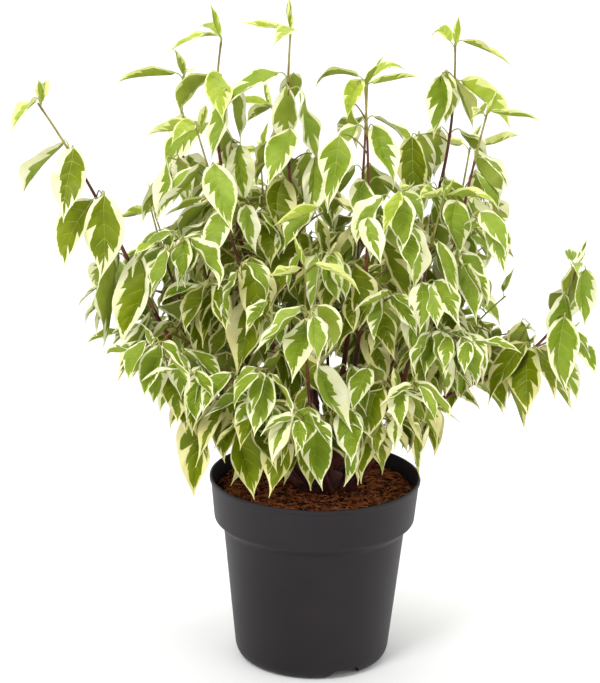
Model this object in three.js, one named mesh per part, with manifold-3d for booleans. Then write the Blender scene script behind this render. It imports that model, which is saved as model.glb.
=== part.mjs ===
// A dogwood with white-edged leaves: a shrub of many stems in a round plastic nursery pot.
//
// Millimetres, +Z up. The origin is the middle of the pot's underside, on the ground.
// +X is to the right of the shrub's front and +Y points away behind it.
//
// Each stem is one tapering limb that rises bare from the soil, or from the short woody foot
// in the middle, and ends where it enters its mass of foliage. Each mass is one solid: the
// leafy rest of the stem, the side shoots that branch from it by a seeded rule, and the leaves,
// with their roots sunk in the shoots.

import * as THREE from "three";
import { mergeVertices } from "three/addons/utils/BufferGeometryUtils.js";
import Module from "manifold-3d";

const wasm = await Module();
wasm.setup();
const { Manifold, Mesh: SolidMesh } = wasm;

const UP = new THREE.Vector3(0, 0, 1);
const DEGREE = Math.PI / 180;

// Clearance between pieces that touch on the real plant, and the finest detail that a joined
// solid keeps.
const GAP = 0.3;
const FINEST = 0.02;

// What sets the chance in the branching rule.
const SEED_STEP = 7883;

// Pot
const POT_SIDES = 36;
const RIM_RADIUS = 105;
const RIM_HEIGHT = 189.5;
const RIM_LIP = 4;
const RIM_LIP_STEP = 0.9;
const WALL = 2.2;
const COLLAR_RADIUS = 99.85;
const COLLAR_BOTTOM = 146;
const BODY_TOP_RADIUS = 90.6;
const BODY_TOP = 137;
const BODY_BOTTOM_RADIUS = 77.2;
const BASE_ROUNDING = 10;
const BASE_BELLY = [0.72, 0.4];
const GROUND_RADIUS = 68.4;
const FLOOR_TOP = 8;
const RECESS_DEPTH = 5;
const RECESS_INNER = 34;
const RECESS_OUTER = 60;
const RECESS_SLOPE = 1.5;
const HOLE_COUNT = 6;
const HOLE_RADIUS = 4;
const HOLE_SIDES = 8;
const NOTCH_COUNT = 3;
const NOTCH_FIRST_ANGLE = -63;
const NOTCH_WIDTH = 38;
const NOTCH_TOP_WIDTH = 26;
const NOTCH_HEIGHT = 9.5;
const NOTCH_START = 4;
const NOTCH_OVERRUN = 5;

// Soil
const SOIL_TOP = 173;
const SOIL_CLEARANCE = 0.5;
const SOIL_EDGE_DROP = 1;
const SOIL_RINGS = [82, 64];
const SOIL_FLAT_RADIUS = 46;
const SOIL_SWELL = 2.4;
const SOIL_WAVES = [3, 7];

// The woody foot in the middle, and the two rings on which the stems stand round it
const FOOT_CENTRE = new THREE.Vector3(12, 10, 0);
const FOOT_TOP = 199;
const FOOT_FLARE_RADIUS = 17;
const FOOT_RADIUS = 12.5;
const FOOT_BULGE = 1;
const FOOT_FLARE_HEIGHTS = [5, 12];
const FOOT_SHOULDER = 4;
const FOOT_SIDES = 10;
const INNER_RING = { radius: 9, firstAngle: 10, base: FOOT_TOP + GAP };
const OUTER_RING = { radius: 25, firstAngle: -18, base: SOIL_TOP + GAP };

// Stems
const STEM_SIDES = 6;
const STEM_RINGS = 3;
const LEAFY_RINGS = 6;
const HANDLE = 0.42;
const THINNEST_FOOT = 2.1;
const THICKENING = 0.0034;
const TAPER = 0.74;

// Twigs: how many sides they have, how far apart their nodes are and how they close up
const TWIG_SIDES = 3;
const TWIG_STOUTNESS = 1.3;
const NODE_SPACING = 52;
const NODE_CROWDING = 1.2;
const NODE_WOBBLE = 18;
const LAST_NODE = 0.985;
const FEWEST_NODES = 4;
const LINE_STEPS = 24;

// Side shoots. Lengths are in millimetres, and lift and sag are shares of the length.
const SIDE_SHOOT_CHANCE = 0.7;
const SIDE_SHOOT_LENGTH = 88;
const SIDE_SHOOT_SIZES = [0.75, 1.15];
const SIDE_SHOOT_LIFT = [0.25, 0.6];
const SIDE_SHOOT_SAG = [-0.25, 0.2];
const SIDE_SHOOT_BEND = 0.5;
const SIDE_SHOOT_REACH = 0.9;
const SIDE_SHOOT_RADIUS = 1.15;
const SIDE_SHOOT_TAPER = 0.4;
const SIDE_SHOOT_NODES = [0.42, 0.74, 0.97];
const SIDE_SHOOT_RINGS = [0, 0.42, 0.74, 1];
const SIDE_SHOOT_LEAF = 0.84;
const SIDE_SHOOT_SHRINK = 0.12;
const SIDE_SHOOT_STEPS = 4;
const SHOOT_START = 0.08;
const SHOOTS_BELOW = 0.72;
const SECOND_SHOOTS_BELOW = 0.5;

// Leaves. Widths are shares of the blade's length, and angles are in degrees. A youth of 1 is
// the youngest leaf on a long stem.
const LEAF_LENGTH = 72;
const LEAF_LENGTHS = [0.86, 1.12];
const LEAF_WIDTH = 0.53;
const YOUNG_LEAF_WIDTH = 0.31;
const LEAF_WIDTHS = [0.92, 1.08];
const LEAF_WIDEST = 0.42;
const LEAF_KEEL = 0.07;
const LEAF_ROLL = [-24, 24];
const PETIOLE = 0.2;
const STALK_RISE = [25, 50];
const YOUNG_STALK_LIFT = 20;
const BASE_DROOP = [-55, -10];
const TIP_DROOP = [-102, -80];
const YOUNG_BASE_LIFT = 55;
const YOUNG_TIP_LIFT = [40, 15];
const SECOND_LEAF = [0.85, 1];
const LOWEST_LEAF_SIZE = 0.86;
const SIZE_GAIN = 0.3;
const SIZE_LOSS = 0.4;
const YOUNG_FROM = 0.72;
const SHORT_STEM = 200;
const SHORT_STEM_YOUTH = 0.6;
const SHOOT_TIP_YOUTH = 0.55;
const TIP_LEAF = 0.42;
const TIP_LEAF_YOUTH = 2;

// How leaves and shoots keep their distance
const CLEAR_OF_ROOT = 0.12;
const MEETING = 110;
const LEAF_TURNS = [0, 25, -25, 50, -50, 80, -80];
const SHOOT_TURNS = [0, 180, 90, -90, 45, -45];
const TURN_TO_LIGHT = 0.45;
const CROWN_MIDDLE = -16;
const CROWN_HALF_WIDTH = 274;
const SPACE_REACH = 34;
const STEM_MARGIN = 5;
const LIMB_MARGIN = 3;
const POT_MARGIN = 3;
const LEAF_MARGIN = 3.5;

// The stems in the order in which they stand round their ring, counter-clockwise from the
// right: where the tip is, how far the foot and the tip lean outwards from upright, in degrees,
// and how far up the stem its foliage starts. Two of them have their nodes at another spacing
// than the rest, and fewer side shoots.
const INNER_STEMS = [
  { place: "tall_right", tip: [125, 30, 618], lean: [16, -3], bare: 0.2 },
  { place: "back_high", tip: [45, 125, 565], lean: [26, 2], bare: 0.2 },
  { place: "back_middle", tip: [-47, 75, 542], lean: [14, -2], bare: 0.2 },
  { place: "tall_left", tip: [-98, 30, 618], lean: [14, -8], bare: 0.2 },
  { place: "tall_middle", tip: [-32, 0, 632], lean: [4, -3], bare: 0.26 },
  { place: "front_left", tip: [-117, -75, 552], lean: [26, 18], bare: 0.2 },
  { place: "front_middle", tip: [38, -45, 588], lean: [24, -12], bare: 0.24 },
];
const OUTER_STEMS = [
  { place: "right", tip: [153, -35, 562], lean: [33, 13], bare: 0.26 },
  { place: "far_right", tip: [243, -20, 412], lean: [18, 0], bare: 0.34, spacing: 36, shoots: 0.3 },
  { place: "low_right", tip: [186, 45, 365], lean: [50, 50], bare: 0.3 },
  { place: "back_right", tip: [150, 118, 500], lean: [38, 10], bare: 0.26 },
  { place: "low_back_right", tip: [120, 142, 325], lean: [46, 66], bare: 0.34 },
  { place: "low_back", tip: [8, 178, 342], lean: [46, 56], bare: 0.3 },
  { place: "back", tip: [-62, 160, 482], lean: [38, 8], bare: 0.26 },
  { place: "low_back_left", tip: [-112, 138, 315], lean: [42, 70], bare: 0.34 },
  { place: "back_far_left", tip: [-168, 118, 425], lean: [45, 22], bare: 0.28 },
  { place: "back_left", tip: [-137, 75, 574], lean: [28, -4], bare: 0.3 },
  { place: "left", tip: [-168, 40, 455], lean: [40, 14], bare: 0.3 },
  { place: "far_left", tip: [-268, -25, 562], lean: [52, 34], bare: 0.36, spacing: 58, shoots: 0.2 },
  { place: "low_left", tip: [-158, -62, 332], lean: [52, 62], bare: 0.32 },
  { place: "low_front_left", tip: [-102, -90, 294], lean: [40, 84], bare: 0.3 },
  { place: "low_front", tip: [-48, -84, 286], lean: [20, 78], bare: 0.26 },
  { place: "front", tip: [-14, -118, 430], lean: [46, 4], bare: 0.22 },
  { place: "low_front_right", tip: [74, -102, 304], lean: [34, 78], bare: 0.3 },
  { place: "front_right", tip: [112, -88, 492], lean: [42, 18], bare: 0.2 },
];

// Colours, and how rough each surface is
const LEAF_GREEN = 0x7e9c42;
const BARK_RED = 0x5c2b25;
const BARK_BROWN = 0x4a3327;
const PEAT = 0x5a3424;
const PLASTIC = 0x3a383b;

// Numbers from 0 up to 1, in an order that the seed fixes.
function seeded(seed) {
  let state = seed * SEED_STEP;
  const next = () => {
    state = (Math.imul(state, 1664525) + 1013904223) >>> 0;
    return state / 4294967296;
  };
  for (let i = 0; i < 3; i++) next();
  return next;
}

// A closed three.js geometry as a solid that can be joined and cut.
function solidOf(geometry) {
  const bare = geometry.clone();
  bare.deleteAttribute("normal");
  bare.deleteAttribute("uv");
  const merged = mergeVertices(bare);
  return new Manifold(
    new SolidMesh({
      numProp: 3,
      vertProperties: new Float32Array(merged.attributes.position.array),
      triVerts: new Uint32Array(merged.index.array),
    }),
  );
}

function geometryOf(solid) {
  const mesh = solid.getMesh();
  const geometry = new THREE.BufferGeometry();
  geometry.setAttribute(
    "position",
    new THREE.BufferAttribute(new Float32Array(mesh.vertProperties), 3),
  );
  geometry.setIndex(new THREE.BufferAttribute(new Uint32Array(mesh.triVerts), 1));
  geometry.computeVertexNormals();
  return geometry;
}

function piece(name, geometry, color, roughness) {
  const material = new THREE.MeshStandardMaterial({ color, roughness, metalness: 0 });
  const mesh = new THREE.Mesh(geometry, material);
  mesh.name = name;
  return mesh;
}

// A round solid from the [radius, height] points of its outline, from the axis to the axis,
// lowest point first.
function turned(outline, sides) {
  const points = outline.map(([radius, height]) => new THREE.Vector2(radius, height));
  const geometry = new THREE.LatheGeometry(points, sides);
  geometry.rotateX(Math.PI / 2);
  return geometry;
}

// The radius of the pot's outer face at a height.
function potRadius(height) {
  const slopes = [
    [0, GROUND_RADIUS],
    [BASE_ROUNDING, BODY_BOTTOM_RADIUS],
    [BODY_TOP, BODY_TOP_RADIUS],
    [COLLAR_BOTTOM, COLLAR_RADIUS],
    [RIM_HEIGHT, RIM_RADIUS],
  ];
  for (let i = 1; i < slopes.length; i++) {
    const [low, lowRadius] = slopes[i - 1];
    const [high, highRadius] = slopes[i];
    if (height <= high) {
      return lowRadius + ((highRadius - lowRadius) * (height - low)) / (high - low);
    }
  }
  return RIM_RADIUS;
}

function potBody() {
  const [outShare, upShare] = BASE_BELLY;
  const bellyRadius = GROUND_RADIUS + (BODY_BOTTOM_RADIUS - GROUND_RADIUS) * outShare;
  const lipBottom = RIM_HEIGHT - RIM_LIP;
  const outline = [
    [0, 0],
    [RECESS_INNER, 0],
    [RECESS_INNER + RECESS_SLOPE, RECESS_DEPTH],
    [RECESS_OUTER, RECESS_DEPTH],
    [RECESS_OUTER + RECESS_SLOPE, 0],
    [GROUND_RADIUS, 0],
    [bellyRadius, BASE_ROUNDING * upShare],
    [BODY_BOTTOM_RADIUS, BASE_ROUNDING],
    [BODY_TOP_RADIUS, BODY_TOP],
    [COLLAR_RADIUS, COLLAR_BOTTOM],
    [potRadius(lipBottom) - RIM_LIP_STEP, lipBottom - RIM_LIP_STEP],
    [RIM_RADIUS, lipBottom],
    [RIM_RADIUS, RIM_HEIGHT],
    [RIM_RADIUS - WALL, RIM_HEIGHT],
    [COLLAR_RADIUS - WALL, COLLAR_BOTTOM + WALL],
    [BODY_TOP_RADIUS - WALL, BODY_TOP + WALL],
    [BODY_BOTTOM_RADIUS - WALL, BASE_ROUNDING + WALL],
    [GROUND_RADIUS, FLOOR_TOP],
    [0, FLOOR_TOP],
  ];
  return solidOf(turned(outline, POT_SIDES));
}

// One drainage slot through the foot ring: a wedge with slanted sides.
function drainNotch(angle) {
  const shape = new THREE.Shape([
    new THREE.Vector2(-NOTCH_WIDTH / 2, -1),
    new THREE.Vector2(NOTCH_WIDTH / 2, -1),
    new THREE.Vector2(NOTCH_TOP_WIDTH / 2, NOTCH_HEIGHT),
    new THREE.Vector2(-NOTCH_TOP_WIDTH / 2, NOTCH_HEIGHT),
  ]);
  const reach = BODY_BOTTOM_RADIUS + NOTCH_OVERRUN - RECESS_OUTER;
  const wedge = new THREE.ExtrudeGeometry(shape, { depth: reach, bevelEnabled: false });
  wedge.rotateX(Math.PI / 2);
  wedge.translate(0, NOTCH_START - RECESS_OUTER, 0);
  wedge.rotateZ(angle * DEGREE + Math.PI / 2);
  return solidOf(wedge);
}

function drainHole(angle) {
  const hole = new THREE.CylinderGeometry(HOLE_RADIUS, HOLE_RADIUS, 3 * FLOOR_TOP, HOLE_SIDES);
  hole.rotateX(Math.PI / 2);
  hole.translate((RECESS_INNER + RECESS_OUTER) / 2, 0, 0);
  hole.rotateZ(angle * DEGREE);
  return solidOf(hole);
}

function pot() {
  let body = potBody();
  for (let i = 0; i < NOTCH_COUNT; i++) {
    body = body.subtract(drainNotch(NOTCH_FIRST_ANGLE + (360 / NOTCH_COUNT) * i));
  }
  for (let i = 0; i < HOLE_COUNT; i++) {
    body = body.subtract(drainHole((360 / HOLE_COUNT) * (i + 0.5)));
  }
  return piece("pot", geometryOf(body), PLASTIC, 0.5);
}

// The soil fills the pot to a finger's width below the rim. Its top swells and sinks a little
// in rings, and is level where the stems stand.
function soil() {
  const inside = (height) => potRadius(height) - WALL - SOIL_CLEARANCE;
  const bottom = FLOOR_TOP + SOIL_CLEARANCE;
  const outline = [
    [0, bottom],
    [GROUND_RADIUS - 2 * SOIL_CLEARANCE, bottom],
    [inside(BASE_ROUNDING) - SOIL_CLEARANCE, BASE_ROUNDING + WALL + SOIL_CLEARANCE],
    [inside(BODY_TOP) - SOIL_CLEARANCE, BODY_TOP + WALL],
    [inside(COLLAR_BOTTOM) - SOIL_CLEARANCE, COLLAR_BOTTOM + WALL],
    [inside(SOIL_TOP) - SOIL_CLEARANCE, SOIL_TOP - SOIL_EDGE_DROP],
    ...SOIL_RINGS.map((radius) => [radius, SOIL_TOP]),
    [SOIL_FLAT_RADIUS, SOIL_TOP],
    [0, SOIL_TOP],
  ];
  const geometry = turned(outline, POT_SIDES);
  const place = geometry.attributes.position;
  for (let i = 0; i < place.count; i++) {
    const radius = Math.hypot(place.getX(i), place.getY(i));
    const isTop = place.getZ(i) > SOIL_TOP - 2 * SOIL_EDGE_DROP;
    if (isTop && radius > SOIL_FLAT_RADIUS + GAP) {
      const turn = Math.atan2(place.getY(i), place.getX(i));
      const [broad, fine] = SOIL_WAVES;
      const swell = Math.sin(broad * turn + radius) + Math.sin(fine * turn - 2 * radius);
      place.setZ(i, place.getZ(i) + (SOIL_SWELL * swell) / 2);
    }
  }
  return piece("soil", geometryOf(solidOf(geometry)), PEAT, 0.95);
}

// The short stem that the inner boughs grow from: flared where it enters the soil.
function footStem() {
  const bottom = SOIL_TOP + GAP;
  const [flare, waist] = FOOT_FLARE_HEIGHTS;
  const outline = [
    [0, bottom],
    [FOOT_FLARE_RADIUS, bottom],
    [FOOT_RADIUS + 1.5 * FOOT_BULGE, bottom + flare],
    [FOOT_RADIUS, bottom + waist],
    [FOOT_RADIUS + FOOT_BULGE, FOOT_TOP - FOOT_SHOULDER],
    [FOOT_RADIUS, FOOT_TOP],
    [0, FOOT_TOP],
  ];
  const geometry = turned(outline, FOOT_SIDES);
  geometry.translate(FOOT_CENTRE.x, FOOT_CENTRE.y, 0);
  return piece("foot_stem", geometryOf(solidOf(geometry)), BARK_BROWN, 0.85);
}

// A stem's whole line, from its foot on the ring to its tip: a curve whose two handles lean
// outwards by the stem's two angles.
function stemLine(row, ring, index, count) {
  const footAngle = (ring.firstAngle + (360 / count) * index) * DEGREE;
  const foot = new THREE.Vector3(Math.cos(footAngle), Math.sin(footAngle), 0)
    .multiplyScalar(ring.radius)
    .add(FOOT_CENTRE)
    .setZ(ring.base);
  const tip = new THREE.Vector3(...row.tip);
  const across = tip.clone().sub(foot).setZ(0).normalize();
  const length = foot.distanceTo(tip);
  const handle = (lean) =>
    across
      .clone()
      .multiplyScalar(Math.sin(lean * DEGREE))
      .addScaledVector(UP, Math.cos(lean * DEGREE))
      .multiplyScalar(HANDLE * length);
  const curve = new THREE.CubicBezierCurve3(
    foot,
    foot.clone().add(handle(row.lean[0])),
    tip.clone().sub(handle(row.lean[1])),
    tip,
  );
  const footRadius = THINNEST_FOOT + THICKENING * length;
  const usual = { spacing: NODE_SPACING, shoots: SIDE_SHOOT_CHANCE };
  return { ...usual, ...row, curve, length, footRadius };
}

function stemRadius(stem, along) {
  return stem.footRadius * (1 - TAPER * along);
}

function evenSteps(from, to, count) {
  return Array.from({ length: count + 1 }, (_, i) => from + ((to - from) * i) / count);
}

// A tapering limb or twig: a cylinder whose rings are laid along a curve, at a list of its
// parameters. With a level foot, its first ring is slid along the curve's direction until it
// lies flat at the curve's start.
function taperedLimb(curve, rings, radiusAt, sides, levelFoot) {
  const geometry = new THREE.CylinderGeometry(1, 1, 1, sides, rings.length - 1);
  const chord = curve.getPoint(1).sub(curve.getPoint(0));
  const sideways = new THREE.Vector3().crossVectors(UP, chord).normalize();
  const place = geometry.attributes.position;
  for (let i = 0; i < place.count; i++) {
    const ring = Math.round((place.getY(i) + 0.5) * (rings.length - 1));
    const along = rings[ring];
    const radius = radiusAt(along);
    const heading = curve.getTangent(along);
    const other = new THREE.Vector3().crossVectors(sideways, heading).normalize();
    const point = curve
      .getPoint(along)
      .addScaledVector(sideways, place.getX(i) * radius)
      .addScaledVector(other, place.getZ(i) * radius);
    if (levelFoot && ring === 0) {
      const slide = (curve.getPoint(along).z - point.z) / heading.z;
      point.addScaledVector(heading, slide);
    }
    place.setXYZ(i, point.x, point.y, point.z);
  }
  return geometry;
}

// The middle of a limb's straight piece between two rings, at a parameter of its curve.
function onLimb(curve, rings, along) {
  const last = rings.findIndex((ring) => ring >= along);
  const next = Math.max(1, last);
  const share = (along - rings[next - 1]) / (rings[next] - rings[next - 1]);
  return curve.getPoint(rings[next - 1]).lerp(curve.getPoint(rings[next]), share);
}

// The bare lower part of a stem. It ends a hair's breadth below its mass of foliage.
function bough(stem) {
  const end = stem.bare - GAP / stem.length;
  const geometry = taperedLimb(
    stem.curve,
    evenSteps(0, end, STEM_RINGS),
    (along) => stemRadius(stem, along),
    STEM_SIDES,
    true,
  );
  return solidOf(geometry);
}

// A leaf is a stalk that rises outwards from its node, and a blade that arches over and hangs.
// Its directions are worked out once: outwards over the ground, across the blade, and the
// angles of the blade's line at its base and at its tip.
function makeLeaf(node, angle, form) {
  const stalkAngle = (form.nodeAngle + (angle - form.nodeAngle) / 2) * DEGREE;
  const stalkOut = new THREE.Vector3(Math.cos(stalkAngle), Math.sin(stalkAngle), 0);
  const stalk = form.length * PETIOLE;
  const base = node
    .clone()
    .addScaledVector(stalkOut, stalk * Math.cos(form.rise * DEGREE))
    .addScaledVector(UP, stalk * Math.sin(form.rise * DEGREE));
  const outward = new THREE.Vector3(Math.cos(angle * DEGREE), Math.sin(angle * DEGREE), 0);
  return { ...form, angle, node, stalkOut, base, outward };
}

// The point on a blade's middle line at a share of its length: the line turns evenly from the
// angle at its base to the angle at its tip, so its run and its fall are differences of a
// sine and a cosine.
function bladeMiddle(leaf, share) {
  const start = leaf.droop[0] * DEGREE;
  const turn = (leaf.droop[1] - leaf.droop[0]) * DEGREE;
  const now = start + turn * share;
  const run = (leaf.length * (Math.sin(now) - Math.sin(start))) / turn;
  const climb = (-leaf.length * (Math.cos(now) - Math.cos(start))) / turn;
  return leaf.base.clone().addScaledVector(leaf.outward, run).addScaledVector(UP, climb);
}

// The directions across a blade and out of its upper face, at a share of its length, with the
// blade rolled about its own line.
function bladeFrame(leaf, share) {
  const pitch = (leaf.droop[0] + (leaf.droop[1] - leaf.droop[0]) * share) * DEGREE;
  const heading = leaf.outward
    .clone()
    .multiplyScalar(Math.cos(pitch))
    .addScaledVector(UP, Math.sin(pitch));
  const level = new THREE.Vector3().crossVectors(leaf.outward, UP);
  const across = level.clone().applyAxisAngle(heading, leaf.roll * DEGREE);
  const face = new THREE.Vector3().crossVectors(across, heading);
  return { across, face };
}

// A leaf's five corners: a start, the two edges and the keel of the blade's widest place, and
// the tip. The start is the root, or a share of the way from it to the widest place.
function leafCorners(leaf, startShare) {
  const widest = bladeMiddle(leaf, LEAF_WIDEST);
  const { across, face } = bladeFrame(leaf, LEAF_WIDEST);
  return [
    leaf.node.clone().lerp(widest, startShare),
    widest.clone().addScaledVector(across, -leaf.width / 2),
    widest.clone().addScaledVector(across, leaf.width / 2),
    widest.clone().addScaledVector(face, -leaf.width * LEAF_KEEL),
    bladeMiddle(leaf, 1),
  ];
}
const LEAF_EDGES = [
  [0, 1],
  [0, 2],
  [0, 3],
  [4, 1],
  [4, 2],
  [4, 3],
  [1, 2],
];
const LEAF_FACES = [
  [0, 1, 2],
  [0, 1, 3],
  [0, 2, 3],
  [4, 1, 2],
  [4, 1, 3],
  [4, 2, 3],
];

// Whether any of some straight lines, each a pair of points, runs through a leaf's faces.
const probe = new THREE.Ray();
const hit = new THREE.Vector3();
function linesPierce(lines, corners) {
  return lines.some(([from, to]) => {
    const reach = from.distanceTo(to);
    probe.origin.copy(from);
    probe.direction.copy(to).sub(from).divideScalar(reach);
    return LEAF_FACES.some(
      ([a, b, c]) =>
        probe.intersectTriangle(corners[a], corners[b], corners[c], false, hit) &&
        hit.distanceTo(from) < reach,
    );
  });
}

function edgesOf(corners) {
  return LEAF_EDGES.map(([a, b]) => [corners[a], corners[b]]);
}

function leavesCross(a, b) {
  return linesPierce(edgesOf(a), b) || linesPierce(edgesOf(b), a);
}

// A leaf as a solid: a ball of three sides and two bands. Its poles are the root, sunk in the
// shoot, and the tip; its ring is the blade's widest place, with two edges and a keel under
// the midrib.
function leafSolid(leaf) {
  const geometry = new THREE.SphereGeometry(1, 3, 2);
  const [root, left, right, keel, tip] = leafCorners(leaf, 0);
  const place = geometry.attributes.position;
  for (let i = 0; i < place.count; i++) {
    const height = place.getY(i);
    const sideways = place.getZ(i);
    let corner = keel;
    if (height > 0.5) corner = root;
    else if (height < -0.5) corner = tip;
    else if (sideways > 0.1) corner = right;
    else if (sideways < -0.1) corner = left;
    place.setXYZ(i, corner.x, corner.y, corner.z);
  }
  return solidOf(geometry);
}

// The smallest angle from one bearing to another, in degrees.
function turnBetween(from, to) {
  return ((((to - from) % 360) + 540) % 360) - 180;
}

// The bearing from the shrub's middle out to a point, in degrees.
function bearing(point) {
  return Math.atan2(point.y - FOOT_CENTRE.y, point.x - FOOT_CENTRE.x) / DEGREE;
}

function pointsAlong(curve, from, to, count) {
  const points = [];
  for (let i = 0; i <= count; i++) points.push(curve.getPoint(from + ((to - from) * i) / count));
  return points;
}

function linesAlong(curve, from, to, count) {
  const points = pointsAlong(curve, from, to, count);
  return points.slice(1).map((point, i) => ({
    ends: [points[i], point],
    centre: points[i].clone().lerp(point, 0.5),
  }));
}

function nearest(point, points) {
  let best = Infinity;
  for (const other of points) best = Math.min(best, point.distanceTo(other));
  return best;
}

// Whether a point keeps clear of the pot, its soil and the foot stem.
function clearOfPot(point) {
  const radius = Math.hypot(point.x, point.y);
  if (point.z > RIM_HEIGHT + POT_MARGIN) return true;
  if (radius > RIM_RADIUS + POT_MARGIN) return true;
  const soilRadius = potRadius(SOIL_TOP) - WALL - 2 * POT_MARGIN;
  const footDistance = Math.hypot(point.x - FOOT_CENTRE.x, point.y - FOOT_CENTRE.y);
  const aboveSoil = point.z > SOIL_TOP + SOIL_SWELL + POT_MARGIN;
  return aboveSoil && radius < soilRadius && footDistance > FOOT_FLARE_RADIUS + POT_MARGIN;
}

// The rule that grows one stem's foliage. A share of the way up the leafy part, nodes follow
// each other closer and closer, each a quarter turn on from the last. A node bears two opposite
// leaves, and on the lower part often a side shoot with nodes of its own. A leaf turns part of
// the way to the light, and hangs; the youngest stand up. What would leave the space nearer to
// this stem than to any other, reach out of the crown, or touch a stem, the pot or another leaf,
// tries the next turn, and is left out when no turn fits.
function growFoliage(stem, index, stems, crown) {
  const random = seeded(index + 1);
  const between = (low, high) => low + (high - low) * random();
  const others = stems.filter((other) => other !== stem);
  const leaves = [];
  const shoots = [];

  const fits = (point) => {
    if (Math.abs(point.x - CROWN_MIDDLE) > CROWN_HALF_WIDTH) return false;
    const own = nearest(point, stem.leafyPoints);
    for (const other of others) {
      const distance = nearest(point, other.leafyPoints);
      if (distance < STEM_MARGIN || distance < own - SPACE_REACH) return false;
    }
    for (const other of stems) {
      if (nearest(point, other.barePoints) < other.footRadius + LIMB_MARGIN) return false;
    }
    return clearOfPot(point);
  };

  // What is already there and near enough to be met, from any mass.
  const near = (list, point) => list.filter((item) => item.centre.distanceTo(point) < MEETING);

  const addLeaf = (node, nodeAngle, size, youth) => {
    const length = LEAF_LENGTH * size * between(...LEAF_LENGTHS);
    const widthShare = LEAF_WIDTH + (YOUNG_LEAF_WIDTH - LEAF_WIDTH) * Math.min(1, youth);
    const tipLift = youth * (YOUNG_TIP_LIFT[0] + YOUNG_TIP_LIFT[1] * youth);
    const form = {
      nodeAngle,
      length,
      width: length * widthShare * between(...LEAF_WIDTHS),
      rise: between(...STALK_RISE) + YOUNG_STALK_LIFT * youth,
      droop: [between(...BASE_DROOP) + YOUNG_BASE_LIFT * youth, between(...TIP_DROOP) + tipLift],
      roll: between(...LEAF_ROLL),
    };
    const light = nodeAngle + TURN_TO_LIGHT * turnBetween(nodeAngle, bearing(node));
    for (const turn of LEAF_TURNS) {
      const leaf = makeLeaf(node, light + turn, form);
      const corners = leafCorners(leaf, CLEAR_OF_ROOT);
      const centre = corners[3];
      const neighbours = near(crown.leaves, centre);
      const tips = neighbours.flatMap((other) => other.corners);
      const lines = near(crown.lines, centre).map((line) => line.ends);
      if (
        corners.slice(1).every((corner) => nearest(corner, tips) > LEAF_MARGIN && fits(corner)) &&
        !neighbours.some((other) => leavesCross(corners, other.corners)) &&
        !linesPierce(lines, corners)
      ) {
        leaves.push(leaf);
        crown.leaves.push({ corners, centre });
        return;
      }
    }
  };

  const addPair = (node, angle, size, youth) => {
    addLeaf(node, angle, size, youth);
    addLeaf(node, angle + 180, size * between(...SECOND_LEAF), youth);
  };

  const addShoot = (node, angle, size) => {
    const length = SIDE_SHOOT_LENGTH * size * between(...SIDE_SHOOT_SIZES);
    const lift = between(...SIDE_SHOOT_LIFT);
    const sag = between(...SIDE_SHOOT_SAG);
    const spin = between(0, 180);
    for (const turn of SHOOT_TURNS) {
      const shootAngle = (angle + turn) * DEGREE;
      const out = new THREE.Vector3(Math.cos(shootAngle), Math.sin(shootAngle), 0);
      const elbow = node.clone().addScaledVector(out, length * SIDE_SHOOT_BEND);
      elbow.addScaledVector(UP, length * lift);
      const end = node.clone().addScaledVector(out, length * SIDE_SHOOT_REACH);
      end.addScaledVector(UP, length * (lift + sag));
      const curve = new THREE.QuadraticBezierCurve3(node.clone(), elbow, end);
      const lines = linesAlong(curve, SHOOT_START, 1, SIDE_SHOOT_STEPS);
      const ends = lines.map((line) => line.ends);
      if (
        ends.every(([, to]) => fits(to)) &&
        !near(crown.leaves, elbow).some((other) => linesPierce(ends, other.corners))
      ) {
        shoots.push(curve);
        crown.lines.push(...lines);
        SIDE_SHOOT_NODES.forEach((along, i) => {
          const youth = i === SIDE_SHOOT_NODES.length - 1 ? SHOOT_TIP_YOUTH : 0;
          const leafSize = size * (SIDE_SHOOT_LEAF - SIDE_SHOOT_SHRINK * i);
          addPair(onLimb(curve, SIDE_SHOOT_RINGS, along), spin + 90 * i, leafSize, youth);
        });
        return;
      }
    }
  };

  const leafyLength = stem.curve.getLength() * (1 - stem.bare);
  const fullYouth = leafyLength > SHORT_STEM ? 1 : SHORT_STEM_YOUTH;
  const count = Math.max(FEWEST_NODES, Math.round(leafyLength / stem.spacing));
  const firstAngle = between(0, 180);
  for (let k = 1; k <= count; k++) {
    const upward = LAST_NODE * (1 - (1 - k / count) ** NODE_CROWDING);
    const node = onLimb(stem.curve, stem.rings, stem.bare + (1 - stem.bare) * upward);
    const angle = firstAngle + 90 * k + between(-NODE_WOBBLE, NODE_WOBBLE);
    const size = LOWEST_LEAF_SIZE + SIZE_GAIN * upward - SIZE_LOSS * upward ** 4;
    const youth = Math.max(0, (upward - YOUNG_FROM) / (1 - YOUNG_FROM)) * fullYouth;
    if (upward < SHOOTS_BELOW && random() < stem.shoots) addShoot(node, bearing(node), size);
    if (upward < SECOND_SHOOTS_BELOW && random() < stem.shoots) addShoot(node, angle, size);
    addPair(node, angle, size, youth);
    if (k === count) addLeaf(node, angle + 90, TIP_LEAF, TIP_LEAF_YOUTH);
  }
  return { leaves, shoots };
}

function overlaps(solid, mass) {
  const a = solid.boundingBox();
  const b = mass.boundingBox();
  const apart = [0, 1, 2].some((i) => a.min[i] > b.max[i] || a.max[i] < b.min[i]);
  return !apart && solid.intersect(mass).volume() > 0;
}

// The leafy rest of a stem, which carries its mass of foliage.
function leader(stem) {
  const stout = (along) => stemRadius(stem, along) * TWIG_STOUTNESS;
  return solidOf(taperedLimb(stem.curve, stem.rings, stout, TWIG_SIDES, false));
}

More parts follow.
